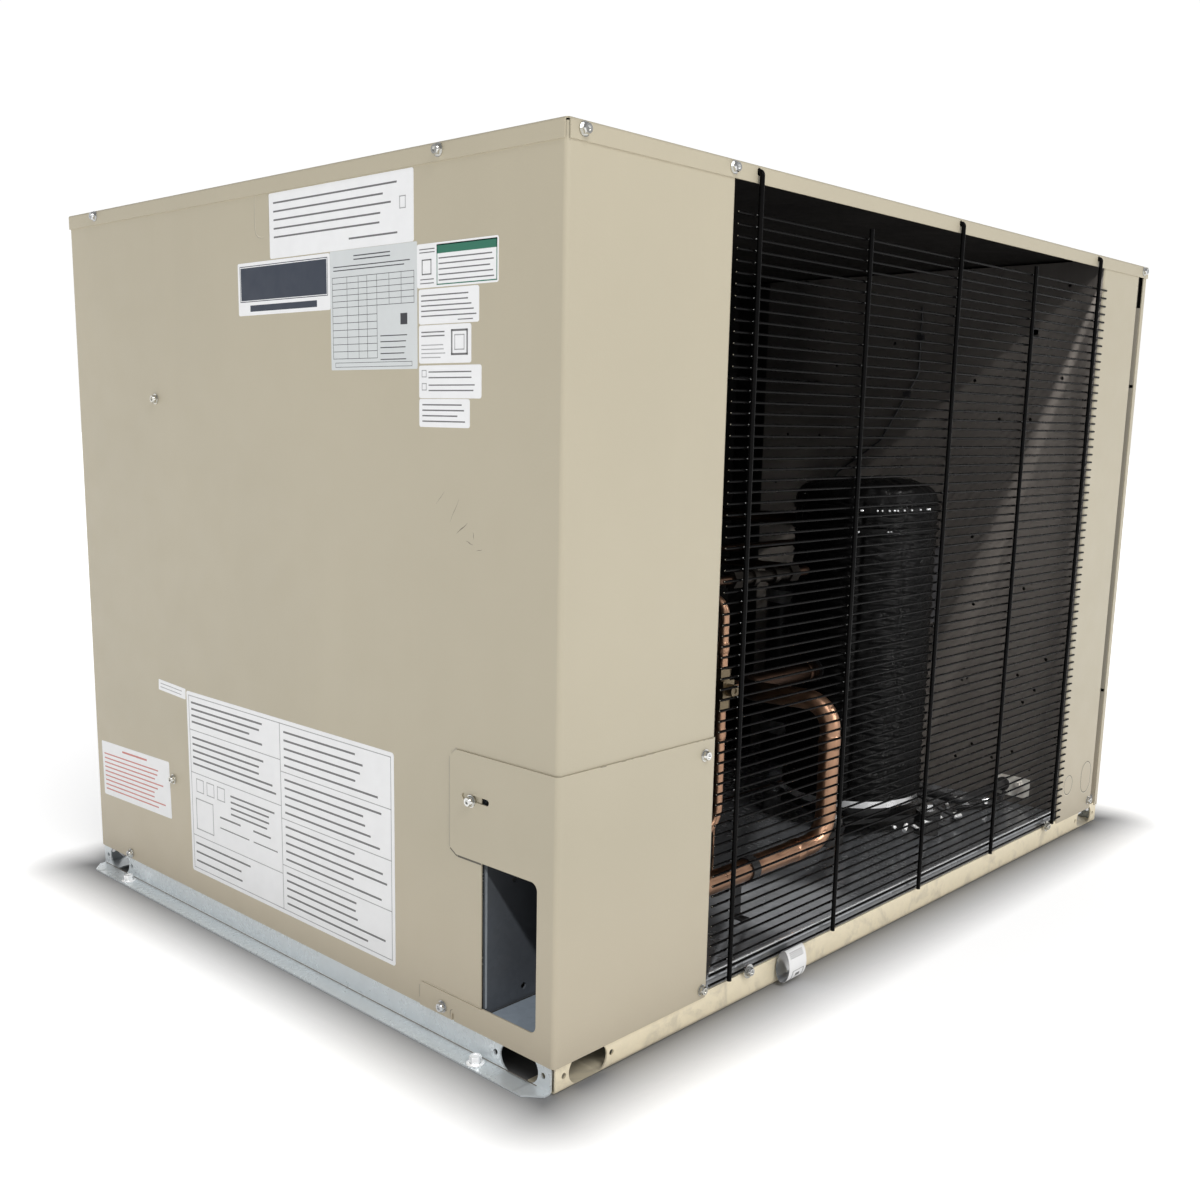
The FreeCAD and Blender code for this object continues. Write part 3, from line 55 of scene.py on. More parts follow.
# ------------------------------------------------------------------ materials
class Mat:
    """Small helper around a node tree."""

    def __init__(self, name, base=(0.5, 0.5, 0.5), metallic=0.0, rough=0.5, spec=0.5, coat=0.0, coat_rough=0.1, sheen=0.0):
        self.m = bpy.data.materials.new(name)
        self.m.use_nodes = True
        self.t = self.m.node_tree
        self.b = self.t.nodes["Principled BSDF"]
        self.b.inputs["Base Color"].default_value = (*base, 1)
        self.b.inputs["Metallic"].default_value = metallic
        self.b.inputs["Roughness"].default_value = rough
        self.b.inputs["Specular IOR Level"].default_value = spec
        self.b.inputs["Coat Weight"].default_value = coat
        self.b.inputs["Coat Roughness"].default_value = coat_rough
        self.b.inputs["Sheen Weight"].default_value = sheen
        self.co = self.t.nodes.new("ShaderNodeTexCoord").outputs["Object"]

    def n(self, kind, **kw):
        nd = self.t.nodes.new(kind)
        for k, v in kw.items():
            setattr(nd, k, v)
        return nd

    def link(self, a, b):
        self.t.links.new(a, b)

    def mapped(self, scale, co=None, rot=(0, 0, 0)):
        mp = self.n("ShaderNodeMapping")
        mp.inputs["Scale"].default_value = scale
        mp.inputs["Rotation"].default_value = rot
        self.link(co or self.co, mp.inputs["Vector"])
        return mp.outputs["Vector"]

    def noise(self, scale, detail=3.0, rough=0.5, vec=None, dist=0.0):
        nz = self.n("ShaderNodeTexNoise")
        nz.inputs["Scale"].default_value = scale
        nz.inputs["Detail"].default_value = detail
        nz.inputs["Roughness"].default_value = rough
        nz.inputs["Distortion"].default_value = dist
        self.link(vec or self.co, nz.inputs["Vector"])
        return nz.outputs["Fac"]

    def ramp(self, fac, stops):
        r = self.n("ShaderNodeValToRGB")
        el = r.color_ramp.elements
        while len(el) < len(stops):
            el.new(0.5)
        for e, (p, c) in zip(el, stops):
            e.position = p
            e.color = (*c, 1) if len(c) == 3 else c
        self.link(fac, r.inputs["Fac"])
        return r.outputs["Color"]

    def rng(self, fac, a, b, lo, hi):
        mr = self.n("ShaderNodeMapRange")
        for k, v in (("From Min", a), ("From Max", b), ("To Min", lo), ("To Max", hi)):
            mr.inputs[k].default_value = v
        self.link(fac, mr.inputs["Value"])
        return mr.outputs["Result"]

    def mix(self, fac, a, b, mode="MIX"):
        mx = self.n("ShaderNodeMix", data_type="RGBA", blend_type=mode)
        ins = {"f": mx.inputs[0], "a": mx.inputs[6], "b": mx.inputs[7]}
        for k, v in (("f", fac), ("a", a), ("b", b)):
            if hasattr(v, "links"):
                self.link(v, ins[k])
            elif k == "f":
                ins[k].default_value = v
            else:
                ins[k].default_value = (*v, 1)
        return mx.outputs[2]

    def math(self, op, a, b=0.0):
        mt = self.n("ShaderNodeMath", operation=op)
        for i, v in enumerate((a, b)):
            if hasattr(v, "links"):
                self.link(v, mt.inputs[i])
            else:
                mt.inputs[i].default_value = v
        return mt.outputs[0]

    def bump(self, height, dist, strength=1.0, prev=None):
        bp = self.n("ShaderNodeBump")
        bp.inputs["Distance"].default_value = dist
        bp.inputs["Strength"].default_value = strength
        self.link(height, bp.inputs["Height"])
        if prev is not None:
            self.link(prev, bp.inputs["Normal"])
        return bp.outputs["Normal"]

    def set(self, sock, out):
        self.link(out, self.b.inputs[sock])

    def axis(self, k):
        sp = self.n("ShaderNodeSeparateXYZ")
        self.link(self.co, sp.inputs[0])
        return sp.outputs[k]


def painted(name, base, dark, rough=0.4):
    m = Mat(name, base, 0.0, rough)
    big = m.noise(2.2, 4.0, 0.55)
    col = m.ramp(big, [(0.30, dark), (0.66, base)])
    dust = m.noise(1.0, 5.0, 0.6, m.mapped((9.0, 9.0, 2.2)))
    col = m.mix(m.rng(dust, 0.52, 0.8, 0.0, 0.16), col, tuple(min(1.0, c * 1.16) for c in base))
    # thin, patchy darkening low down, below about 0.11 m
    zz = m.axis("Z")
    low = m.math("MULTIPLY", m.rng(zz, 0.02, 0.11, 0.16, 0.0), m.noise(38.0, 5.0, 0.7))
    col = m.mix(low, col, (0.20, 0.18, 0.15))
    # a paler, warmer tone that fades out over the bottom 0.2 m
    col = m.mix(m.rng(zz, 0.03, 0.20, 0.55, 0.0), col, (0.64, 0.555, 0.42))
    m.set("Base Color", col)
    m.set("Roughness", m.rng(m.noise(26.0, 5.0, 0.6), 0.3, 0.7, rough - 0.05, rough + 0.08))
    peel = m.noise(430.0, 2.0, 0.5)
    fine = m.noise(2300.0, 1.0, 0.5)
    b1 = m.bump(peel, 0.00016, 0.55)
    m.set("Normal", m.bump(fine, 0.00003, 0.35, b1))
    return m.m


def galvanized(name, base=(0.50, 0.53, 0.56), metallic=0.5, rough=0.4, stain_col=(0.60, 0.60, 0.58), stain=0.35, spangle=0.10, stain_scale=9.0):
    m = Mat(name, base, metallic, rough)
    v = m.n("ShaderNodeTexVoronoi", feature="F1")
    v.inputs["Scale"].default_value = 190.0
    v.inputs["Randomness"].default_value = 1.0
    mp = m.n("ShaderNodeVectorMath", operation="ADD")
    nz = m.n("ShaderNodeTexNoise")
    nz.inputs["Scale"].default_value = 130.0
    nz.inputs["Detail"].default_value = 3.0
    m.link(m.co, nz.inputs["Vector"])
    sc = m.n("ShaderNodeVectorMath", operation="SCALE")
    sc.inputs["Scale"].default_value = 0.005
    m.link(nz.outputs["Color"], sc.inputs[0])
    m.link(m.co, mp.inputs[0])
    m.link(sc.outputs[0], mp.inputs[1])
    m.link(mp.outputs[0], v.inputs["Vector"])
    cell = m.n("ShaderNodeSeparateColor")
    m.link(v.outputs["Color"], cell.inputs[0])
    c = m.ramp(cell.outputs[0], [(0.0, tuple(x * (1 - spangle) for x in base)), (0.5, base), (1.0, tuple(min(1, x * (1 + spangle)) for x in base))])
    st_ = m.rng(m.noise(stain_scale, 6.0, 0.62, dist=0.5), 0.50, 0.78 if stain_scale < 10 else 0.62, 0.0, stain)
    c = m.mix(st_, c, stain_col)
    smear = m.rng(m.noise(1.0, 4.0, 0.6, m.mapped((4.0, 4.0, 26.0))), 0.55, 0.8, 0.0, 0.22)
    c = m.mix(smear, c, tuple(x * 0.72 for x in base))
    m.set("Base Color", c)
    m.set("Roughness", m.math("ADD", m.rng(cell.outputs[1], 0.0, 1.0, rough - spangle * 0.8, rough + spangle * 0.8), m.math("MULTIPLY", st_, 0.2)))
    b = m.bump(m.noise(14.0, 2.0, 0.5), 0.0012, 0.22)
    m.set("Normal", m.bump(m.noise(700.0, 2.0), 0.00004, 0.5, b))
    return m.m


def metal(name, base, rough=0.3, stretch=(1, 1, 1), var=0.18, tarnish=None, bump=0.00002, depth_shade=None):
    m = Mat(name, base, 1.0, rough)
    n1 = m.noise(1.0, 5.0, 0.6, m.mapped(tuple(60.0 * s for s in stretch)))
    c = m.ramp(n1, [(0.3, tuple(x * (1 - var) for x in base)), (0.7, base)])
    if tarnish:
        c = m.mix(m.rng(m.noise(17.0, 6.0, 0.6, dist=0.6), 0.46, 0.72, 0.0, 0.8), c, tarnish)
    # painted shade: depth_shade = (y0 mm, y1 mm, colour) darkens the colour between those depths into the casing
    if depth_shade:
        c = m.mix(m.rng(m.axis("Y"), P(0, depth_shade[0], 0)[1], P(0, depth_shade[1], 0)[1], 0.0, 1.0), c, depth_shade[2])
    m.set("Base Color", c)
    m.set("Roughness", m.rng(m.noise(45.0, 5.0, 0.6), 0.3, 0.7, rough - 0.07, rough + 0.12))
    m.set("Normal", m.bump(m.noise(1.0, 3.0, 0.5, m.mapped(tuple(700.0 * s for s in stretch))), bump, 0.6))
    return m.m


def plastic(name, base, rough=0.45, grain=900.0, depth=0.00005, coat=0.0, var=0.25):
    m = Mat(name, base, 0.0, rough, coat=coat)
    c = m.ramp(m.noise(20.0, 5.0, 0.6), [(0.3, tuple(x * (1 - var) for x in base)), (0.7, tuple(min(1, x * (1 + var * 0.6)) for x in base))])
    m.set("Base Color", c)
    m.set("Roughness", m.rng(m.noise(55.0, 4.0, 0.6), 0.3, 0.7, max(0.05, rough - 0.08), rough + 0.1))
    m.set("Normal", m.bump(m.noise(grain, 2.0, 0.5), depth, 0.5))
    return m.m


M = {}
TAN = (0.520, 0.468, 0.350)
M["tan_paint"] = painted("tan_paint", TAN, tuple(c * 0.94 for c in TAN), 0.42)
M["galvanized"] = galvanized("galvanized", (0.87, 0.93, 0.96), 0.24, 0.27, (0.80, 0.82, 0.82), 0.35, 0.02)
M["galvanized_front"] = galvanized("galvanized_front", (0.95, 0.85, 0.635), 0.08, 0.34, (0.62, 0.555, 0.43), 0.55, 0.02, 26.0)
M["galvanized_chase"] = galvanized("galvanized_chase", (0.074, 0.082, 0.094), 0.2, 0.46, (0.08, 0.08, 0.08), 0.5, 0.05)
M["galvanized_deck"] = galvanized("galvanized_deck", (0.29, 0.30, 0.315), 0.50, 0.20, (0.24, 0.238, 0.23), 0.5, 0.08)
M["galvanized_dull"] = galvanized("galvanized_dull", (0.26, 0.265, 0.27), 0.5, 0.36, (0.30, 0.29, 0.28), 0.5, 0.10)


def inner_coat():
    m = Mat("inner_coat", (0.095, 0.087, 0.081), 0.0, 0.42, spec=0.3)
    n1 = m.noise(5.0, 5.0, 0.6)
    c = m.ramp(n1, [(0.28, (0.076, 0.069, 0.064)), (0.7, (0.098, 0.090, 0.083))])
    run = m.noise(1.0, 4.0, 0.6, m.mapped((30.0, 30.0, 1.6)))
    c = m.mix(m.rng(run, 0.5, 0.8, 0.0, 0.2), c, (0.14, 0.13, 0.122))
    # painted light and shade on the wall's rear part: paler low down as painted light, darker above as painted shade,
    # and painted black shade past its end flange
    rear_light_shade_mask = m.rng(m.axis("Y"), P(0, 395, 0)[1], P(0, 450, 0)[1], 0.0, 1.0)
    c = m.mix(m.math("MULTIPLY", rear_light_shade_mask, m.rng(m.axis("Z"), 0.575, 0.480, 0.0, 1.0)), c, (0.205, 0.188, 0.172))
    c = m.mix(m.math("MULTIPLY", rear_light_shade_mask, m.rng(m.axis("Z"), 0.560, 0.620, 0.0, 1.0)), c, (0.045, 0.042, 0.040))
    c = m.mix(m.rng(m.axis("Y"), P(0, 503, 0)[1], P(0, 505, 0)[1], 0.0, 1.0), c, (0.004, 0.004, 0.004))
    m.set("Base Color", c)
    m.set("Roughness", m.rng(m.noise(30.0, 4.0), 0.3, 0.7, 0.42, 0.6))
    m.set("Normal", m.bump(m.noise(420.0, 2.0), 0.00014, 0.5))
    return m.m


M["inner_coat"] = inner_coat()
M["groove_shade"] = painted("groove_shade", (0.36, 0.335, 0.28), (0.33, 0.305, 0.255), 0.45)
M["chase_floor"] = galvanized("chase_floor", (0.176, 0.206, 0.240), 0.2, 0.42, (0.10, 0.11, 0.125), 0.5, 0.05)
# paler colour for the chase wall's cut edge: painted highlight
M["chase_edge_highlight"] = galvanized("chase_edge_highlight", (0.30, 0.325, 0.35), 0.3, 0.34, (0.24, 0.25, 0.26), 0.4, 0.04)


# near-black painted shade for the inner faces of the tan panels, where the inside of the casing lies in shadow
def inside_painted_shade():
    m = Mat("inside_painted_shade", (0.018, 0.017, 0.016), 0.0, 0.55, spec=0.15)
    m.set("Base Color", m.ramp(m.noise(6.0, 5.0, 0.6), [(0.28, (0.013, 0.012, 0.0115)), (0.72, (0.023, 0.021, 0.0195))]))
    m.set("Roughness", m.rng(m.noise(30.0, 4.0), 0.3, 0.7, 0.5, 0.68))
    m.set("Normal", m.bump(m.noise(420.0, 2.0), 0.00012, 0.5))
    return m.m


M["inside_painted_shade"] = inside_painted_shade()

# near-black fan panel: painted shade for the dark bay behind the compressor
fp_ = plastic("fan_panel_painted_shade", (0.006, 0.0058, 0.0058), 0.6, 430.0, 0.00012)
fp_.node_tree.nodes["Principled BSDF"].inputs["Specular IOR Level"].default_value = 0.2
M["fan_panel_painted_shade"] = fp_


def guard_black():
    m = Mat("guard_black", (0.003, 0.003, 0.003), 0.0, 0.28, spec=0.06)
    m.set("Base Color", m.ramp(m.noise(14.0, 4.0), [(0.3, (0.002, 0.002, 0.0022)), (0.75, (0.0045, 0.0042, 0.0042))]))
    m.set("Roughness", m.rng(m.noise(60.0, 4.0), 0.3, 0.7, 0.20, 0.36))
    m.set("Normal", m.bump(m.noise(500.0, 2.0), 0.00008, 0.4))
    return m.m


M["guard_black"] = guard_black()
# copper: painted shade darkens it between 100 and 150 mm deep in the casing
M["copper"] = metal("copper", (0.50, 0.295, 0.19), 0.33, (1, 1, 1), 0.13, (0.36, 0.21, 0.135), 0.0000006, (100.0, 150.0, (0.065, 0.038, 0.026)))
M["valve_brass"] = metal("valve_brass", (0.25, 0.20, 0.13), 0.38, (1, 1, 1), 0.2, (0.12, 0.095, 0.065))
M["fitting_dark"] = metal("fitting_dark", (0.060, 0.053, 0.046), 0.38, (1, 1, 1), 0.2, (0.035, 0.030, 0.026))
M["fin_aluminium"] = metal("fin_aluminium", (0.70, 0.72, 0.73), 0.38, (1, 1, 6), 0.2)
M["fin_aluminium"].node_tree.nodes["Principled BSDF"].inputs["Metallic"].default_value = 0.55
M["blade_aluminium"] = metal("blade_aluminium", (0.55, 0.56, 0.57), 0.36, (1, 6, 1), 0.25, (0.36, 0.36, 0.36))
M["black_enamel"] = plastic("black_enamel", (0.010, 0.010, 0.0105), 0.32, 380.0, 0.0001, 0.2)
M["zinc_screw"] = metal("zinc_screw", (0.78, 0.79, 0.80), 0.2, (1, 1, 1), 0.2, (0.55, 0.52, 0.42))
M["steel"] = metal("steel", (0.30, 0.30, 0.30), 0.32, (1, 1, 1), 0.25, (0.25, 0.23, 0.21))
M["heater_band"] = metal("heater_band", (0.90, 0.90, 0.91), 0.28, (1, 1, 1), 0.10, None, 0.00001)
M["bright_zinc"] = metal("bright_zinc", (0.93, 0.94, 0.95), 0.24, (1, 1, 1), 0.08, None, 0.00001)
M["bright_zinc"].node_tree.nodes["Principled BSDF"].inputs["Metallic"].default_value = 0.55
M["bush_silver"] = metal("bush_silver", (0.80, 0.78, 0.74), 0.34, (1, 1, 1), 0.2, (0.40, 0.34, 0.27), 0.00002)
M["bush_silver"].node_tree.nodes["Principled BSDF"].inputs["Metallic"].default_value = 0.35

M["rubber"] = plastic("rubber", (0.018, 0.018, 0.018), 0.75, 600.0, 0.0001)
M["black_plastic"] = plastic("black_plastic", (0.022, 0.022, 0.024), 0.42, 800.0, 0.00006)
M["cable"] = plastic("cable", (0.016, 0.016, 0.017), 0.34, 300.0, 0.00004)
M["capacitor_can"] = metal("capacitor_can", (0.72, 0.73, 0.74), 0.3, (1, 1, 8), 0.12)


def paper(name, base, rough=0.42):
    m = Mat(name, base, 0.0, rough)
    m.set("Base Color", m.ramp(m.noise(55.0, 5.0, 0.6), [(0.3, tuple(c * 0.955 for c in base)), (0.7, base)]))
    m.set("Roughness", m.rng(m.noise(80.0, 3.0), 0.3, 0.7, rough - 0.06, rough + 0.08))
    m.set("Normal", m.bump(m.noise(120.0, 3.0), 0.00006, 0.5))
    return m.m


M["label"] = paper("label_white", (0.93, 0.935, 0.945))
M["label_grey"] = paper("label_grey", (0.70, 0.73, 0.735), 0.34)
M["ink_grey"] = paper("ink_grey", (0.16, 0.16, 0.165))
M["ink_pale"] = paper("ink_pale", (0.40, 0.40, 0.41))
M["ink_dark"] = paper("ink_dark", (0.035, 0.037, 0.045))
M["ink_navy"] = paper("ink_navy", (0.022, 0.033, 0.058))
M["ink_green"] = paper("ink_green", (0.020, 0.175, 0.110))
M["ink_red"] = paper("ink_red", (0.62, 0.20, 0.17))
# colour of real paint scuffs, also used for painted shade lines in the foot's fold and by the cover's screw
M["scuff_and_shade"] = paper("scuff_and_shade", (0.24, 0.21, 0.17), 0.6)


def jacket_mat():
    m = Mat("jacket", (0.0022, 0.0022, 0.0024), 0.0, 0.30, spec=0.10)
    w = m.n("ShaderNodeTexWave", wave_type="BANDS", bands_direction="Z")
    w.inputs["Scale"].default_value = 260.0
    w.inputs["Distortion"].default_value = 4.0
    w.inputs["Detail"].default_value = 3.0
    m.link(m.co, w.inputs["Vector"])
    m.set("Base Color", m.ramp(m.noise(40.0, 5.0, 0.65), [(0.3, (0.0014, 0.0014, 0.0015)), (0.75, (0.0032, 0.0031, 0.0030))]))
    m.set("Roughness", m.rng(m.noise(70.0, 4.0), 0.3, 0.7, 0.24, 0.44))
    b = m.bump(w.outputs["Fac"], 0.0008, 0.45)
    m.set("Normal", m.bump(m.noise(160.0, 4.0, 0.6), 0.0012, 0.5, b))
    return m.m


M["jacket"] = jacket_mat()


def clear_film():
    m = Mat("clear_tag", (0.30, 0.32, 0.345), 0.0, 0.16, coat=0.5)
    m.b.inputs["Transmission Weight"].default_value = 0.45
    m.b.inputs["IOR"].default_value = 1.3
    m.set("Roughness", m.rng(m.noise(90.0, 3.0), 0.3, 0.7, 0.1, 0.26))
    m.set("Normal", m.bump(m.noise(60.0, 3.0), 0.0004, 0.5))
    return m.m


M["clear_tag"] = clear_film()

SLOT = {s["node"]: s["material_slot"] for s in frame["record"]["subparts"]}
# flat colours for painted lines: dark and soft for painted shade, light for painted highlight
M["edge_painted_shade"] = paper("edge_painted_shade", (0.115, 0.105, 0.085), 0.6)
M["edge_painted_highlight"] = paper("edge_painted_highlight", (0.70, 0.65, 0.53), 0.5)
M["edge_soft_painted_shade"] = paper("edge_soft_painted_shade", (0.43, 0.39, 0.305), 0.5)

LOOK = {"pipe_clamp": "black_enamel", "filter_drier": "fitting_dark", "valve_bracket": "galvanized_dull", "receiver_brackets": "galvanized_dull", "coil_tube_sheets": "galvanized_dull", "front_rail": "galvanized_front", "line_chase": "galvanized_chase", "chase_end": "galvanized_chase", "fan_panel": "fan_panel_painted_shade"}
BODY = ((-0.5403, 0.5403), (-0.3895, 0.3895), (0.0, 0.750))    # outer planes of the casing, row frame


def faces_in(c, n):
    """True for a sheet face that looks into the casing, or lies well inside it."""
    best = None
    for k in range(3):
        lo, hi = BODY[k]
        for side, d in ((-1, c[k] - lo), (1, hi - c[k])):
            if k == 2 and side == -1:
                continue
            if best is None or d < best[0]:
                best = (d, k, side)
    d, k, side = best
    return d > 0.0035 or n[k] * side < -0.5


for name, ob in NODES.items():
    mat = M[LOOK.get(name, SLOT[name])]
    ob.data.materials.clear()
    ob.data.materials.append(mat)
    # the inner faces of the tan panels get the near-black painted shade
    if SLOT[name] == "tan_paint":
        ob.data.materials.append(M["inside_painted_shade"])
        for poly in ob.data.polygons:
            poly.material_index = 1 if faces_in(poly.center, poly.normal) else 0
        if name == "front_post":
            ob.data.materials.append(M["groove_shade"])
            for poly in ob.data.polygons:
                if poly.normal.y < -0.5 and 0.006 < poly.center.y - P(0, 0, 0)[1] < 0.0105 and poly.center.x > P(1050, 0, 0)[0]:
                    poly.material_index = 2
    elif name == "base_deck":
        ob.data.materials.append(M["galvanized_front"])
        ob.data.materials.append(M["galvanized_deck"])
        for poly in ob.data.polygons:
            poly.material_index = 1 if poly.center.y < -0.3870 and poly.normal.y < -0.3 else (2 if poly.center.z > 0.02 else 0)
    else:
        for poly in ob.data.polygons:
            poly.material_index = 0


# ------------------------------------------------------------------ mesh helpers
def piece(name, verts, faces, mats, idx=None, smooth=False, body="casing", slot=None):
    me = bpy.data.meshes.new(name)
    me.from_pydata([tuple(v) for v in verts], [], faces)
    for mt in mats:
        me.materials.append(mt)
    if idx:
        for p_, i in zip(me.polygons, idx):
            p_.material_index = i
    me.update()
    if smooth:
        for p_ in me.polygons:
            p_.use_smooth = True
    ob = bpy.data.objects.new(name, me)
    bpy.context.scene.collection.objects.link(ob)
    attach(ob, body)
    return ob


class Build:
    """Collects verts, faces and material indices."""

    def __init__(self):
        self.v, self.f, self.m = [], [], []

    def quad(self, pts, mat=0):
        k = len(self.v)
        self.v += [Vector(p) for p in pts]
        self.f.append(tuple(range(k, k + len(pts))))
        self.m.append(mat)

    def grid(self, rows, mat=0, close_u=False, close_v=False):
        k = len(self.v)
        nr, nc = len(rows), len(rows[0])
        for r in rows:
            self.v += [Vector(p) for p in r]
        for i in range(nr if close_v else nr - 1):
            for j in range(nc if close_u else nc - 1):
                a = k + i * nc + j
                b = k + i * nc + (j + 1) % nc
                c = k + ((i + 1) % nr) * nc + (j + 1) % nc
                d = k + ((i + 1) % nr) * nc + j
                self.f.append((a, b, c, d))
                self.m.append(mat)

    def box(self, lo, hi, mat=0):
        x0, y0, z0 = lo
        x1, y1, z1 = hi
        k = len(self.v)
        self.v += [Vector(p) for p in ((x0, y0, z0), (x1, y0, z0), (x1, y1, z0), (x0, y1, z0), (x0, y0, z1), (x1, y0, z1), (x1, y1, z1), (x0, y1, z1))]
        for q in ((0, 3, 2, 1), (4, 5, 6, 7), (0, 1, 5, 4), (1, 2, 6, 5), (2, 3, 7, 6), (3, 0, 4, 7)):
            self.f.append(tuple(k + i for i in q))
            self.m.append(mat)

    def lathe(self, prof, centre, axis="Z", n=48, mat=0, close=False):
        """prof is a list of (radius, height) in mm round centre (mm)."""
        rows = []
        for r, h in prof:
            row = []
            for i in range(n):
                a = 2 * math.pi * i / n
                c, s = r * math.cos(a), r * math.sin(a)
                cx, cy, cz = centre
                if axis == "Z":
                    row.append(P(cx + c, cy + s, cz + h))
                elif axis == "X":
                    row.append(P(cx + h, cy + c, cz + s))
                else:
                    row.append(P(cx + s, cy + h, cz + c))
            rows.append(row)
        self.grid(rows, mat, close_u=True, close_v=close)

    def tube(self, pts, r, n=12, mat=0, caps=True):
        """Round tube along points given in row-frame metres."""
        up = None
        rows = []
        m = len(pts)
        for i, p in enumerate(pts):
            d = (pts[min(i + 1, m - 1)] - pts[max(i - 1, 0)]).normalized()
            if up is None:
                up = Vector((0, 0, 1)) if abs(d.z) < 0.9 else Vector((1, 0, 0))
            u = d.cross(up).normalized()
            w = u.cross(d)
            up = w
            rows.append([p + (u * math.cos(2 * math.pi * k / n) + w * math.sin(2 * math.pi * k / n)) * r for k in range(n)])
        self.grid(rows, mat, close_u=True)
        if caps:
            self.quad(rows[0][::-1], mat)
            self.quad(rows[-1], mat)

    def make(self, name, mats, **kw):
        ob = piece(name, self.v, self.f, mats, self.m, **kw)
        bm = bmesh.new()
        bm.from_mesh(ob.data)
        bmesh.ops.recalc_face_normals(bm, faces=bm.faces)
        bm.to_mesh(ob.data)
        bm.free()
        return ob


def smooth_by_angle(ob, deg=35.0):
    """Smooth faces with sharp edges above an angle."""
    me = ob.data
    bm = bmesh.new()
    bm.from_mesh(me)
    for f in bm.faces:
        f.smooth = True
    for e in bm.edges:
        if len(e.link_faces) == 2 and e.calc_face_angle(0.0) > math.radians(deg):
            e.smooth = False
    bm.to_mesh(me)
    bm.free()


def arc_pts(p0, p1, p2, r, n=8):
    """Rounded corner at p1."""
    d0 = (p0 - p1).normalized()
    d1 = (p2 - p1).normalized()
    ang = d0.angle(d1)
    t = r / math.tan(ang / 2)
    a, b = p1 + d0 * t, p1 + d1 * t
    bis = (d0 + d1).normalized()
    c = p1 + bis * (r / math.sin(ang / 2))
    out = []
    va, vb = a - c, b - c
    for i in range(n + 1):
        out.append(c + va.slerp(vb, i / n).normalized() * r)
    return out


def smooth_path(pts, r, n=8):
    out = [pts[0]]
    for i in range(1, len(pts) - 1):
        out += arc_pts(pts[i - 1], pts[i], pts[i + 1], r, n)
    out.append(pts[-1])
    return out


# ------------------------------------------------------------------ labels (left face, looking along +X; Y grows to the viewer's left)
LX = -0.25                     # outer plane of the labels, mm


class Label:
    """A thin printed film: rounded outline with ruled lines, boxes and bands, none of it lettering."""

    def __init__(self, name, y0, y1, z0, z1, mats, tilt=0.0, r=2.0, base=0):
        self.name, self.y0, self.y1, self.z0, self.z1 = name, y0, y1, z0, z1
        self.b = Build()
        self.mats = mats
        self.tilt = math.radians(tilt)
        self.yc, self.zc = (y0 + y1) / 2, (z0 + z1) / 2
        pts = []
        for cx, cz, a0 in ((y1 - r, z1 - r, 0), (y0 + r, z1 - r, 90), (y0 + r, z0 + r, 180), (y1 - r, z0 + r, 270)):
            for k in range(6):
                a = math.radians(a0 + 18 * k)
                pts.append((cx + r * math.cos(a), cz + r * math.sin(a)))
        front = [self.pt(LX, y, z) for y, z in pts]
        back = [self.pt(-0.03, y, z) for y, z in pts]
        self.b.quad(front, base)
        n = len(pts)
        for i in range(n):
            self.b.quad([front[i], front[(i + 1) % n], back[(i + 1) % n], back[i]], base)

    def pt(self, x, y, z):
        dy, dz = y - self.yc, z - self.zc
        c, s = math.cos(self.tilt), math.sin(self.tilt)
        return P(x, self.yc + dy * c - dz * s, self.zc + dy * s + dz * c)

    def rect(self, ya, yb, za, zb, mat, lift=0.03):
        """u runs from the label's left edge as seen, that is from high Y to low Y."""
        y_a, y_b = self.y1 - ya, self.y1 - yb
        z_a, z_b = self.z1 - za, self.z1 - zb
        x = LX - lift
        self.b.quad([self.pt(x, y_a, z_a), self.pt(x, y_b, z_a), self.pt(x, y_b, z_b), self.pt(x, y_a, z_b)], mat)

    def frame(self, ya, yb, za, zb, w, mat, lift=0.03):
        self.rect(ya, yb, za, za + w, mat, lift)
        self.rect(ya, yb, zb - w, zb, mat, lift)
        self.rect(ya, ya + w, za, zb, mat, lift)
        self.rect(yb - w, yb, za, zb, mat, lift)

    def rules(self, ya, yb, za, zb, n, w, mat, ragged=0.0, seed=1):
        rr = random.Random(seed)
        for k in range(n):
            z = za + (zb - za) * (k + 0.5) / n
            end = yb - (rr.random() * ragged if ragged else 0.0)
            self.rect(ya, end, z - w / 2, z + w / 2, mat)

    def done(self):
        ob = self.b.make(self.name, self.mats, slot="label")
        return ob


WHITE = [M["label"], M["ink_grey"], M["ink_pale"], M["ink_dark"]]
lb = Label("label_top_notice", 172, 379, 678, 734.6, WHITE)
lb.rules(7, 200, 5, 42, 5, 1.5, 1, 60, 3)
lb.rules(120, 186, 43, 53, 1, 1.5, 1)
lb.frame(189, 197, 20, 30, 0.8, 2)
lb.done()

lb = Label("label_banner", 287, 434, 629.5, 677, [M["label"], M["ink_navy"], M["ink_pale"]])
lb.rect(5, 142, 4.5, 34, 1)
lb.frame(3.4, 143.6, 3, 35.4, 0.7, 1)
lb.rect(20, 127, 38.5, 44.2, 1)
lb.done()

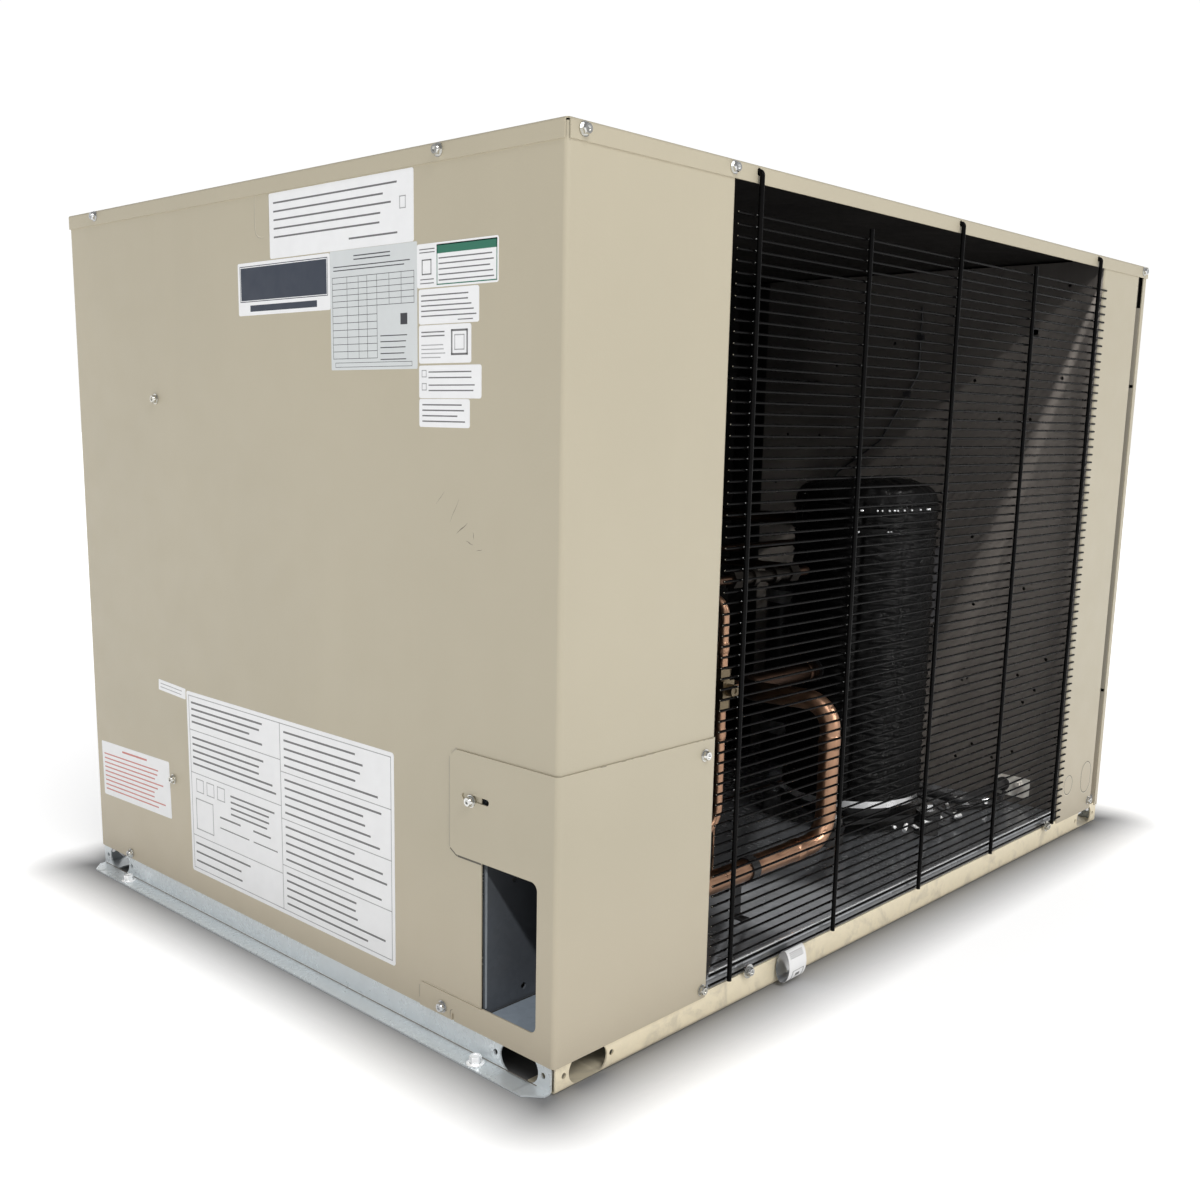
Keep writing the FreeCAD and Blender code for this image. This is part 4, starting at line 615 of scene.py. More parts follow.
lb = Label("label_data_plate", 168, 286.8, 578, 677.8, [M["label_grey"], M["ink_dark"], M["label"]], r=1.2)
lb.rules(34, 84, 4, 10, 2, 0.9, 1)
lb.rules(5, 112, 12, 18, 2, 0.8, 1, 10, 8)
for z in (22, 27, 32, 37, 42, 47, 54, 60, 66, 72, 78, 84, 90):
    lb.rect(3, (115 if z < 52 else 66), z, z + 0.45, 1)
for y in (3, 24, 40, 52, 65.5):
    lb.rect(y, y + 0.45, 22, 90, 1)
for y in (82, 98, 114.6):
    lb.rect(y, y + 0.45, 22, 47, 1)
lb.rules(70, 113, 70, 94, 5, 0.8, 1, 12, 5)
lb.rect(97, 106, 55, 64, 1)
lb.frame(6, 112, 93.5, 97.5, 0.4, 1)
lb.done()

lb = Label("label_green_band", 71, 168, 641, 675, [M["label"], M["ink_green"], M["ink_grey"], M["ink_pale"]])
lb.frame(24.5, 95.5, 1.5, 32.5, 0.9, 1)
lb.rect(24.5, 95.5, 1.5, 8.5, 1)
lb.rules(27, 93, 10, 31, 5, 1.0, 2, 14, 4)
lb.rules(3, 22, 3, 8, 2, 0.8, 2)
lb.frame(6, 18, 12, 24, 1.0, 2)
lb.rules(4, 21, 26, 32, 2, 0.8, 2)
lb.done()

lb = Label("label_text_b", 93, 166, 612.7, 640, WHITE)
lb.rules(3, 70, 3, 23, 5, 1.0, 1, 12, 6)
lb.rect(48, 66, 24.3, 25.1, 1)
lb.done()
lb = Label("label_code", 102, 166, 582, 612, WHITE)
lb.rules(3, 32, 4, 10, 2, 1.0, 1)
lb.rules(3, 34, 14, 27, 4, 0.8, 2, 8, 9)
lb.frame(40, 60, 4, 24, 1.6, 1)
lb.frame(44, 56, 8, 20, 0.8, 2)
lb.done()
lb = Label("label_text_c", 90, 166, 554.5, 580.5, WHITE)
lb.rules(12, 72, 3, 12, 2, 1.0, 1, 8, 2)
lb.rules(12, 72, 13.5, 22, 2, 1.0, 1, 8, 12)
lb.frame(3.4, 9.4, 3.6, 9.4, 0.7, 2)
lb.frame(3.4, 9.4, 14, 19.8, 0.7, 2)
lb.done()
lb = Label("label_text_d", 103.6, 166, 531.5, 554, WHITE)
lb.rules(4, 58, 2.5, 20, 4, 1.1, 1, 16, 7)
lb.done()

lb = Label("label_large_form", 204, 560, 48, 248, WHITE, r=3.0)
lb.frame(4, 352, 4, 196, 0.9, 2)
lb.rect(176, 177, 4, 196, 2)
lb.rules(9, 168, 8, 36, 4, 2.1, 1, 50, 11)
lb.rect(4, 176, 41, 41.9, 2)
lb.rules(9, 168, 46, 82, 5, 2.1, 1, 46, 12)
lb.rect(4, 176, 88, 88.9, 2)
for k in range(3):
    lb.frame(14 + 21 * k, 29 + 21 * k, 94, 109, 1.0, 2)
lb.rules(82, 170, 96, 122, 4, 1.9, 1, 24, 13)
lb.frame(12, 47, 116, 151, 1.2, 2)
lb.rect(60, 116, 138, 139.2, 1)
lb.rect(124, 168, 138, 139.2, 1)
lb.rules(60, 100, 124, 130, 1, 1.9, 1)
lb.rules(124, 156, 124, 130, 1, 1.9, 1)
lb.rect(4, 176, 158, 158.9, 2)
lb.rules(9, 120, 162, 192, 3, 2.0, 1, 30, 14)
for k, (a, b_) in enumerate(((8, 50), (56, 98), (104, 146), (152, 192))):
    lb.rules(183, 346, a, b_, 5, 2.0, 1, 52, 20 + k)
    if k < 3:
        lb.rect(177, 352, b_ + 2.4, b_ + 3.3, 2)
lb.done()

lb = Label("label_small_strip", 562, 619, 238.6, 250.4, WHITE, tilt=2.4, r=1.0)
lb.rules(4, 50, 2, 10, 2, 0.9, 2, 14, 31)
lb.done()
lb = Label("label_red_rules", 603, 761, 93, 158, [M["label"], M["ink_red"], M["ink_pale"]], tilt=-1.6, r=2.0)
lb.rules(50, 108, 3, 10, 1, 2.2, 1)
lb.rules(5, 152, 12, 60, 9, 1.5, 1, 34, 33)
lb.done()
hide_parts("label_plates")

# scuffs in the paint of the left face
sb = Build()
for (y, z, ln, ang, wd) in ((113, 452, 17, -38, 0.9), (104, 441, 9, 12, 0.7), (99, 447, 6, 70, 0.6), (122, 466, 22, -62, 0.35), (140, 475, 15, -50, 0.3), (92, 436, 7, -20, 0.45)):
    a = math.radians(ang)
    n = 6
    for k in range(n):
        t0, t1 = k / n - 0.5, (k + 1) / n - 0.5
        w0 = wd * (1 - abs(2 * t0)) * 0.5 + 0.06
        w1 = wd * (1 - abs(2 * t1)) * 0.5 + 0.06
        j0, j1 = 0.5 * math.sin(5 * t0), 0.5 * math.sin(5 * t1)
        c, s = math.cos(a), math.sin(a)
        q = []
        for t, w, j in ((t0, w0, j0), (t1, w1, j1), (t1, -w1, j1), (t0, -w0, j0)):
            q.append(P(-0.03, y + ln * t * c - (w + j) * s, z + ln * t * s + (w + j) * c))
        sb.quad(q)
sb.make("paint_scuffs", [M["scuff_and_shade"]], slot="tan_paint")

# ------------------------------------------------------------------ compressor jacket
KX, KY = 700.0, 170.0
jb = Build()
NT, NZ = 240, 280
rows = []
for i in range(NZ + 1):
    z = 93.5 + (452.0 - 93.5) * i / NZ
    row = []
    for j in range(NT):
        a = 2 * math.pi * j / NT
        x, y = math.cos(a), math.sin(a)
        # horizontal puckers of a quilted blanket, gathered towards its vertical stitch lines
        stitch = abs(math.sin(a * 5.0 + 0.6))
        wob = noise.noise(Vector((x * 3.0, y * 3.0, z * 0.02))) * 5.0
        fold = abs(math.sin((z + wob * 1.3) * math.pi / 8.2)) ** 0.7 * 2.0 - 1.0
        puck = fold * (0.8 + 1.0 * stitch)
        cr = noise.noise(Vector((x * 7.0, y * 7.0, z * 0.16))) * 1.2 + noise.noise(Vector((x * 12.0, y * 12.0, z * 0.55))) * 0.75
        groove = -1.6 * math.exp(-(stitch / 0.12) ** 2)
        r = 84.3 + puck * 0.9 + cr + groove
        r = min(r, 87.2)
        row.append(P(KX + r * x, KY + r * y, z))
    rows.append(row)
jb.grid(rows, 0, close_u=True)
# top cap, dished and puckered
crows = [rows[-1]]
for k in range(1, 15):
    t = k / 14.0
    row = []
    for j in range(NT):
        a = 2 * math.pi * j / NT
        x, y = math.cos(a), math.sin(a)
        r = 84.5 * math.cos(t * math.pi / 2 * 0.97) ** 0.75
        z = 452.0 + 27.0 * math.sin(t * math.pi / 2) ** 0.8 + noise.noise(Vector((x * r * 0.06, y * r * 0.06, 4.0))) * 1.2 + math.sin(a * 26) * 0.8 * (1 - t)
        row.append(P(KX + r * x, KY + r * y, z))
    crows.append(row)
jb.grid(crows, 0, close_u=True)
jb.quad(crows[-1], 0)
# lower hem
hem = []
for r, z in ((85.6, 95.5), (86.4, 93.0), (84.0, 92.0), (81.2, 93.0), (81.0, 110.0)):
    hem.append([P(KX + r * math.cos(2 * math.pi * j / NT), KY + r * math.sin(2 * math.pi * j / NT), z) for j in range(NT)])
jb.grid(hem, 0, close_u=True)
jk = jb.make("jacket_blanket", [M["jacket"]], smooth=True, slot="jacket")
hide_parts("compressor_jacket")


def jacket_pt(deg, z, r):
    a = math.radians(deg)
    return P(KX + r * math.cos(a), KY + r * math.sin(a), z)


# straps with bright studs, and the laced closing seam
st = Build()
for zc in (444.0, 419.0):
    rws = []
    for dr, dz in ((86.4, -4.2), (87.8, -3.4), (88.0, 0.0), (87.8, 3.4), (86.4, 4.2)):
        rws.append([P(KX + (dr + 0.25 * math.sin(9 * a)) * math.cos(a), KY + (dr + 0.25 * math.sin(9 * a)) * math.sin(a), zc + dz + 0.8 * math.sin(3 * a)) for a in [2 * math.pi * j / 120 for j in range(120)]])
    st.grid(rws, 0, close_u=True)
STUDS = [(d0, 444.0) for d0 in (-151, -140, -136.5, -131, -127, -124.5, -119, -112.5, -104, -95.5, -93, 204, 208)]
STUDS += [(d0, 419.0) for d0 in (-153, -131, -128.5, -120.5, 204)]
for d0, zc in STUDS:
    p0 = jacket_pt(d0, zc + 0.8 * math.sin(math.radians(3 * d0)), 89.0)
    n_ = Vector((math.cos(math.radians(d0)), math.sin(math.radians(d0)), 0))
    u_ = Vector((-n_.y, n_.x, 0))
    ring = []
    for rr_, hh in ((1.2, -2.0), (1.2, 0.5), (0.9, 0.9), (0.35, 1.1)):
        ring.append([p0 + n_ * (hh / 1000) + (u_ * math.cos(q) + Vector((0, 0, 1)) * math.sin(q)) * (rr_ / 1000) for q in [2 * math.pi * k / 10 for k in range(10)]])
    st.grid(ring, 1, close_u=True)
    st.quad(ring[-1], 1)
so = st.make("jacket_straps", [M["jacket"], M["bright_zinc"]], slot="jacket")
smooth_by_angle(so, 40)

lc = Build()
zig = []
for k in range(17):
    zig.append(jacket_pt(-40 + (7 if k % 2 else 0), 120 + 20 * k, 88.6))
path = []
for a_, b_ in zip(zig[:-1], zig[1:]):
    for t in range(5):
        path.append(a_.lerp(b_, t / 5))
path.append(zig[-1])
lc.tube(path, 0.0011, 8)
for k in range(17):
    c = jacket_pt(-40 + (7 if k % 2 else 0), 120 + 20 * k, 87.6)
    d = math.radians(-40 + (7 if k % 2 else 0))
    n_ = Vector((math.cos(d), math.sin(d), 0))
    u_ = Vector((-n_.y, n_.x, 0))
    tor = []
    for q in range(12):
        qa = 2 * math.pi * q / 12
        cc = c + (u_ * math.cos(qa) + Vector((0, 0, 1)) * math.sin(qa)) * 0.0030
        e1 = (cc - c).normalized()
        tor.append([cc + (e1 * math.cos(w) + n_ * math.sin(w)) * 0.0009 for w in [2 * math.pi * s / 6 for s in range(6)]])
    lc.grid(tor, 1, close_u=True, close_v=True)
lo = lc.make("jacket_lacing", [M["cable"], M["zinc_screw"]], smooth=True, slot="jacket")

# ------------------------------------------------------------------ condenser fins
fb = Build()
CX0, CX1, CY0, CY1 = 82.0, 1048.0, 692.0, 748.0
x = CX0 + 4.5
i = 0
while x < CX1 - 4.5:
    lean = RND.uniform(-0.18, 0.18)
    if RND.random() < 0.03:
        lean += RND.uniform(-0.8, 0.8)
    segs = 14
    rws = []
    for s in range(segs + 1):
        z = 43.2 + (740.8 - 43.2) * s / segs
        wv = lean + 0.12 * math.sin(s * 1.7 + i)
        rws.append([P(x + wv, CY0 + 0.1, z), P(x + 0.5, CY0 + 9, z), P(x - 0.4, CY0 + 19, z), P(x + 0.5, 720, z), P(x - 0.4, CY1 - 19, z), P(x + 0.5, CY1 - 9, z), P(x + wv, CY1 - 0.1, z)])
    fb.grid(rws, 0)
    x += 2.3
    i += 1
fins = fb.make("coil_fin_pack", [M["fin_aluminium"]], slot="fin_aluminium")
sol = fins.modifiers.new("t", "SOLIDIFY")
sol.thickness = 0.00018
sol.offset = 0.0
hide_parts("coil_fins")

# ------------------------------------------------------------------ fan blades, smooth
HUBY, FX, FZ, R_FAN = 606.0, 430.0, 385.0, 250.0


def blade_point(rad, ch, pit, skew, u, side, th):
    p = math.radians(pit)
    v = 0.05 * ch * (1 - (2 * u) ** 2) + side * th / 2.0
    tang = u * ch * math.cos(p) - v * math.sin(p)
    axl = u * ch * math.sin(p) + v * math.cos(p)
    a = tang / rad + math.radians(skew)
    return rad * math.cos(a), axl, rad * math.sin(a)


ST = ((58.0, 76.0, 27.0, 0.0), (100.0, 108.0, 24.5, 1.0), (150.0, 138.0, 21.5, 4.0), (200.0, 160.0, 18.5, 8.5), (R_FAN - 0.5, 168.0, 16.0, 14.0))


def station(t):
    t = t * (len(ST) - 1)
    i0 = min(int(t), len(ST) - 2)
    f = t - i0
    return [a + (b - a) * f for a, b in zip(ST[i0], ST[i0 + 1])]


bb = Build()
for k in range(4):
    ca, sa = math.cos(math.radians(90 * k)), math.sin(math.radians(90 * k))
    for side in (-1, 1):
        rws = []
        for si in range(21):
            rad, ch, pit, skew = station(si / 20)
            # round the blade's corners
            if si > 16:
                ch *= 1 - 0.10 * ((si - 16) / 4.0) ** 2
            if si < 3:
                ch *= 1 - 0.12 * ((3 - si) / 3.0) ** 2
            row = []
            for ui in range(25):
                u = -0.5 + ui / 24.0
                th = 1.7 * min(1.0, 0.2 + 8 * (0.5 - abs(u)))
                x, y, z = blade_point(rad, ch, pit, skew, u, side, th)
                x, z = x * ca + z * sa, -x * sa + z * ca
                row.append(P(FX + x, HUBY + 2.0 + y, FZ + z))
            rws.append(row)
        bb.grid(rws, 0)
bl = bb.make("fan_blade_set", [M["blade_aluminium"]], smooth=True, body="fan_rotor", slot="blade_aluminium")
bm = bmesh.new()
bm.from_mesh(bl.data)
bmesh.ops.remove_doubles(bm, verts=bm.verts, dist=0.00036)
bmesh.ops.recalc_face_normals(bm, faces=bm.faces)
bm.to_mesh(bl.data)
bm.free()
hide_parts("fan_blades")
rv = Build()
for k in range(4):
    ca, sa = math.cos(math.radians(90 * k)), math.sin(math.radians(90 * k))
    for rad in (72.0, 96.0, 120.0):
        for tz in (-7.0, 7.0):
            x, z = rad * ca + tz * sa, -rad * sa + tz * ca
            yb = HUBY + 2.0 + tz * math.tan(math.radians(25)) - 1.2
            rv.lathe([(0.01, -1.9), (1.6, -1.5), (2.4, -0.4), (2.5, 0.4)], (FX + x, yb, FZ + z), "Y", 12)
ro = rv.make("fan_rivets", [M["steel"]], smooth=True, body="fan_rotor", slot="steel")

# ------------------------------------------------------------------ loose detail inside the compressor bay
db = Build()
# lead dropping down the control wall, held by clips
WX = 940.65
pth = smooth_path([P(WX - 1.6, 246, 700), P(WX - 1.6, 246, 612), P(WX - 1.6, 300, 520), P(WX - 1.6, 372, 470), P(WX - 1.6, 372, 430)], 0.02, 8)
db.tube(pth, 0.0015, 10, 0)
for (y, z) in ((246, 660), (262, 584), (338, 494)):
    db.box(P(WX - 4.2, y - 5, z - 3.5), P(WX, y + 5, z + 3.5), 1)
do = db.make("wall_lead", [M["cable"], M["black_plastic"]], slot="cable")
smooth_by_angle(do, 50)
# bright plate round the cable bush, with its screw
pb = Build()
y0_, y1_, z0_, z1_, xf, xb_ = 40.0, 89.5, 49.5, 77.0, 939.7, 940.65
hole = [(77.4 + 8.0 * math.cos(2 * math.pi * k / 40), 64.0 + 8.0 * math.sin(2 * math.pi * k / 40)) for k in range(40)]
edge = []
for yy, zz in hole:
    dy, dz = yy - 77.4, zz - 64.0
    t = min(((y1_ - 77.4) / dy) if dy > 1e-6 else (((y0_ - 77.4) / dy) if dy < -1e-6 else 1e9), ((z1_ - 64.0) / dz) if dz > 1e-6 else (((z0_ - 64.0) / dz) if dz < -1e-6 else 1e9))
    edge.append((77.4 + dy * t, 64.0 + dz * t))
for k in range(40):
    a_, b_ = hole[k], hole[(k + 1) % 40]
    c_, d_ = edge[(k + 1) % 40], edge[k]
    pb.quad([P(xf, *a_), P(xf, *b_), P(xf, *c_), P(xf, *d_)], 0)
    pb.quad([P(xf, *a_), P(xf, *b_), P(xb_, *b_), P(xb_, *a_)], 0)
    pb.quad([P(xf, *d_), P(xf, *c_), P(xb_, *c_), P(xb_, *d_)], 0)
pb.lathe([(0.01, -5.2), (3.3, -5.2), (3.6, -4.6), (3.6, -2.2), (5.4, -1.9), (5.6, -1.0), (5.6, 0.0)], (xf, 55.0, 67.7), "X", 6, 0)
po = pb.make("bush_plate", [M["bush_silver"]], slot="zinc_screw")

# heater lead lying on the deck between the compressor's feet and the bush, with crimped lugs and ties
hl = Build()
lead = smooth_path([P(748, 96, 84), P(772, 78, 62), P(800, 70, 47.5), P(838, 96, 46.0), P(872, 80, 46.0), P(905, 64, 47.0), P(930, 70, 56.0)], 0.012, 6)
hl.tube(lead, 0.0026, 10, 0)
lead2 = smooth_path([P(756, 104, 80), P(790, 96, 58), P(826, 122, 46.5), P(868, 110, 46.5), P(912, 92, 50.0), P(934, 80, 60.0)], 0.012, 6)
hl.tube(lead2, 0.0026, 10, 0)
rr = random.Random(11)
for px_, py_, pz_, az_ in ((742, 84, 66, 20), (760, 74, 56, 65), (792, 66, 52, -30), (806, 78, 49, 10), (830, 100, 49, 40), (858, 90, 49, -20), (884, 74, 50, 30), (700, 74, 56, 80), (682, 78, 58, 15), (722, 70, 60, -35), (664, 84, 62, 50), (898, 80, 49, -50)):
    d_ = Vector((math.cos(math.radians(az_)), math.sin(math.radians(az_)), rr.uniform(-0.3, 0.5))).normalized()
    c_ = P(px_, py_, pz_)
    hl.tube([c_ - d_ * 0.0055, c_ - d_ * 0.002, c_ + d_ * 0.002, c_ + d_ * 0.0055], 0.0019 + rr.random() * 0.0010, 7, 1)
hlo = hl.make("heater_lead", [M["cable"], M["bright_zinc"]], slot="cable")
smooth_by_angle(hlo, 45)

# braze collars on the copper joints
cb = Build()


def collar(c, axis, r, w, mat=0):
    cb.lathe([(r - 0.4, -w - 1.2), (r + 0.5, -w), (r + 1.0, -w * 0.4), (r + 1.0, w * 0.4), (r + 0.5, w), (r - 0.4, w + 1.2)], c, axis, 28, mat)


for c, ax, r, w in (((215, 60, 96), "X", 11.1, 3.0), ((420, 60, 96), "X", 11.1, 7.0), ((474, 60, 205), "Z", 11.1, 7.0), ((281, 60, 330), "Z", 4.76, 5.0),
                    ((281, 60, 246), "Z", 4.76, 5.0), ((281, 60, 270), "Z", 4.76, 2.0), ((340, 150, 376), "X", 4.76, 5.0), ((150, 60, 150), "X", 4.76, 3.0),
                    ((600, 178, 248), "X", 11.1, 4.0), ((470, 420, 66), "X", 7.95, 5.0), ((706, 420, 240), "Z", 7.95, 5.0)):
    collar(c, ax, r, w)
co = cb.make("braze_collars", [M["copper"]], smooth=True, slot="copper")

# loop tag: a film strip closed into a ring round an axis along the rail, printed white on its outer face, the rest clear
def ring_pt(deg, x, off=0.0):
    a = math.radians(deg)
    flat = 1.0 - 0.10 * max(0.0, math.sin(a))
    z = 21.0 + (16.2 + off) * math.sin(a)
    return P(x + (z - 21.0) * 0.06 + 0.5 * math.sin(a * 2), -8.6 + (7.7 + off) * math.cos(a) * flat - 0.35 * (x - 320) / 15 * math.cos(a), z)


lt = Build()
TX0, TX1 = 305.5, 335.0
for lo_, hi_, mt in ((95, 262, 1), (262, 455, 0)):
    for off in (0.0, -0.22):
        lt.grid([[ring_pt(lo_ + (hi_ - lo_) * k / 40, TX0 + (TX1 - TX0) * t / 10, off) for k in range(41)] for t in range(11)], mt if off == 0.0 else 0)
    for xx in (TX0, TX1):
        lt.grid([[ring_pt(lo_ + (hi_ - lo_) * k / 40, xx, off) for k in range(41)] for off in (0.0, -0.22)], mt)
# pale rules and a blank ruled square on the printed half
for d0 in (122, 130, 138, 146):
    lt.grid([[ring_pt(d0 + dd, 309 + 22 * q / 8, 0.05) for q in range(9)] for dd in (0.0, 2.6)], 2)
for d0, d1, xa, xb in ((196, 198, 312, 331), (236, 238, 312, 331), (196, 238, 312, 313), (196, 238, 330, 331), (210, 224, 318, 325)):
    lt.grid([[ring_pt(d0 + (d1 - d0) * q / 8, xa + (xb - xa) * t, 0.05) for q in range(9)] for t in (0, 1)], 2)
tagp = lt.make("loop_tag_strip", [M["clear_tag"], M["label"], M["ink_grey"]], smooth=True, slot="clear_tag")
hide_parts("loop_tag")

# anchor bolts in the left foot's two holes: serrated washer under a hex head
def hex_bolt(bd, x, y, z, af, hh, wr, turn=0.0):
    n = 60
    rows = []
    for rr_, zz, ser in ((wr - 0.6, 0.0, 0), (wr, 0.3, 1), (wr, 1.1, 1), (wr - 1.5, 1.6, 0), (af * 0.56, 1.75, 0)):
        row = []
        for k in range(n):
            a = 2 * math.pi * k / n + turn
            r = rr_ - (0.55 if ser and k % 4 < 2 else 0.0)
            row.append(P(x + r * math.cos(a), y + r * math.sin(a), z + zz))
        rows.append(row)
    bd.grid(rows, 0, close_u=True)
    rows = []
    rc = af / 2 / math.cos(math.pi / 6)
    for sc_, zz in ((1.0, 1.6), (1.0, hh - 0.8), (0.93, hh)):
        row = []
        for k in range(n):
            a = 2 * math.pi * k / n + turn
            sect = (a - turn) % (math.pi / 3) - math.pi / 6
            r = min(rc * sc_, af / 2 / math.cos(sect)) * (1.0 if sc_ == 1.0 else 0.97)
            row.append(P(x + r * math.cos(a), y + r * math.sin(a), z + zz))
        rows.append(row)
    # shallow dish in the head's top
    rows.append([P(x + af * 0.30 * math.cos(2 * math.pi * k / n), y + af * 0.30 * math.sin(2 * math.pi * k / n), z + hh) for k in range(n)])
    rows.append([P(x + af * 0.24 * math.cos(2 * math.pi * k / n), y + af * 0.24 * math.sin(2 * math.pi * k / n), z + hh - 0.5) for k in range(n)])
    bd.grid(rows, 0, close_u=True)
    bd.quad(rows[-1], 0)


fbx = Build()
hex_bolt(fbx, -9.5, 84.0, 1.65, 9.5, 7.4, 8.1, 0.3)
hex_bolt(fbx, -9.5, 692.0, 1.65, 9.5, 7.4, 8.1, 0.9)
fbo = fbx.make("foot_bolts", [M["bright_zinc"]], slot="zinc_screw")
smooth_by_angle(fbo, 30)

# a painted shade line by the access cover's lower screw, drawing a partly hidden slot's outline
mk = Build()


def stroke(bd, pts, w, mat, x):
    """A tapering stroke on the plane of constant x through (y, z) points."""
    for (a_, b_), t0, t1 in zip(zip(pts[:-1], pts[1:]), [k / (len(pts) - 1) for k in range(len(pts) - 1)], [(k + 1) / (len(pts) - 1) for k in range(len(pts) - 1)]):
        dy, dz = b_[0] - a_[0], b_[1] - a_[1]
        L = math.hypot(dy, dz)
        ny, nz = -dz / L, dy / L
        w0 = w * (0.35 + 0.65 * math.sin(math.pi * min(1.0, t0 + 0.12)))
        w1 = w * (0.35 + 0.65 * math.sin(math.pi * min(1.0, t1)))
        bd.quad([P(x, a_[0] - ny * w0 / 2, a_[1] - nz * w0 / 2), P(x, b_[0] - ny * w1 / 2, b_[1] - nz * w1 / 2), P(x, b_[0] + ny * w1 / 2, b_[1] + nz * w1 / 2), P(x, a_[0] + ny * w0 / 2, a_[1] + nz * w0 / 2)], mat)


stroke(mk, [(126.4, 26.5), (126.4, 31.5), (125.2, 33.6), (123.2, 34.2)], 0.7, 0, -1.36)
# painted shade and painted highlight lines drawing the pressed outline of an unused opening, high on the left panel
stroke(mk, [(402.0, 736.5), (402.9, 728.0), (403.3, 716.0), (403.3, 707.0), (402.0, 701.5), (398.5, 698.4), (393.5, 697.3), (388.5, 697.3)], 0.9, 1, -0.04)
stroke(mk, [(401.2, 736.5), (402.0, 728.0), (402.4, 716.0), (402.4, 707.4), (401.2, 702.4), (398.0, 699.4), (393.5, 698.3), (388.5, 698.3)], 0.6, 2, -0.05)
mko = mk.make("cover_shade_and_highlight_lines", [M["scuff_and_shade"], M["edge_soft_painted_shade"], M["edge_painted_highlight"]], slot="tan_paint")

# painted shadow lines on the panel just outside the edges of the access cover's tab and foot, and a painted highlight
# line along the foot's top edge
eg = Build()


def edge_strip(pts, w, mat, x=-0.045):
    for (ya, za), (yb, zb) in zip(pts[:-1], pts[1:]):
        dy, dz = yb - ya, zb - za
        L = math.hypot(dy, dz)
        ny, nz = dz / L * w, -dy / L * w
        eg.quad([P(x, ya, za), P(x, yb, zb), P(x, yb + ny, zb + nz), P(x, ya + ny, za + nz)], mat)


edge_strip([(126.7, 181.2), (126.7, 260.0)], 2.6, 1)
edge_strip([(126.7, 259.6), (118.7, 268.0)], 2.2, 1)
edge_strip([(88.4, 176.5), (118.4, 176.5)], 2.3, 0)
edge_strip([(118.2, 176.4), (126.9, 181.5)], 2.4, 0)
edge_strip([(168.0, 30.2), (168.0, 42.1)], 2.6, 1)
edge_strip([(163.5, 46.6), (88.4, 46.6)], 0.8, 2)
ego = eg.make("cover_edge_shade_and_highlight", [M["edge_painted_shade"], M["edge_soft_painted_shade"], M["edge_painted_highlight"]], slot="tan_paint")
# chase: floor plate with a dark bead along the wall, and a paler strip on the wall's cut edge as a painted highlight
cf = Build()
cf.box(P(3.4, 3.0, 40.12), P(192.6, 85.6, 40.5), 0)
cf.box(P(3.2, 86.30, 46.0), P(5.4, 86.52, 255.0), 2)
cf.tube([P(4.0, 85.6, 40.75), P(60.0, 85.6, 40.75), P(120.0, 85.6, 40.75), P(192.0, 85.6, 40.75)], 0.0006, 8, 1)
cfo = cf.make("chase_floor_plate", [M["chase_floor"], M["rubber"], M["chase_edge_highlight"]], slot="galvanized")
smooth_by_angle(cfo, 40)

# guard: small bright zinc beads where the wires meet the stays and at the wires' cut ends, as painted highlights on the
# black coat
wd = Build()
for k in range(72):
    z_ = 33.2 + 9.53 * k
    for xs in (224.6, 397.6, 570.6, 743.6, 916.6):
        wd.tube([P(xs - 2.7, -2.45, z_ + 0.35), P(xs - 1.7, -2.95, z_ + 0.35)], 0.00045, 6, 0)
        wd.tube([P(xs + 1.7, -2.95, z_ + 0.35), P(xs + 2.7, -2.45, z_ + 0.35)], 0.00045, 6, 0)
    wd.tube([P(198.2, -1.7, z_ + 0.35), P(198.9, -1.7, z_ + 0.35)], 0.0005, 6, 0)
wdo = wd.make("guard_weld_glints", [M["zinc_screw"]], smooth=True, slot=SLOT["discharge_guard"])
smooth_by_angle(wdo, 40)

# painted shade in the left foot's fold, painted shade along the hem line low on the front skirt, and a bright tube on
# the deck's rolled lip as a painted highlight
gr = Build()
gr.tube([P(0.55, 20.0 + 37.4 * k, 2.35) for k in range(21)], 0.00035, 8, 0)
rr = random.Random(9)
hem_pts = []
x_ = 66.0
while x_ < 1036.0:
    hem_pts.append((x_, 3.4 + rr.uniform(-0.25, 0.25)))
    x_ += rr.uniform(14, 34)
for (xa, za), (xb, zb) in zip(hem_pts[:-1], hem_pts[1:]):
    gr.quad([P(xa, -0.03, za), P(xb, -0.03, zb), P(xb, -0.03, zb + 0.5), P(xa, -0.03, za + 0.5)], 1)
gr.tube([P(206.0 + 41.7 * k, 5.4, 41.15) for k in range(21)], 0.00105, 12, 2)
# the side return of the control panel's front flange, seen in the groove
for za, zb in ((26.0, 186.5), (190.5, 596.0), (600.0, 698.0)):
    gr.box(P(1064.6, 1.35, za), P(1065.8, 8.9, zb), 5)


def ring_strip(cx, cz, rx, rz, a0, a1, w, mat):
    """A fine line along a pressed ring on the post's face, in painted shade (dark mat) or painted highlight (light
    mat).
    """
    k = 44
    for i in range(k):
        q = []
        for a, off in ((a0 + (a1 - a0) * i / k, 0.0), (a0 + (a1 - a0) * (i + 1) / k, 0.0), (a0 + (a1 - a0) * (i + 1) / k, w), (a0 + (a1 - a0) * i / k, w)):
            t = math.radians(a)
            q.append(P(cx + (rx + off) * math.cos(t), -0.04, cz + (rx + off) * math.sin(t) + math.copysign(rz - rx, math.sin(t + 1e-6))))
        gr.quad(q, mat)


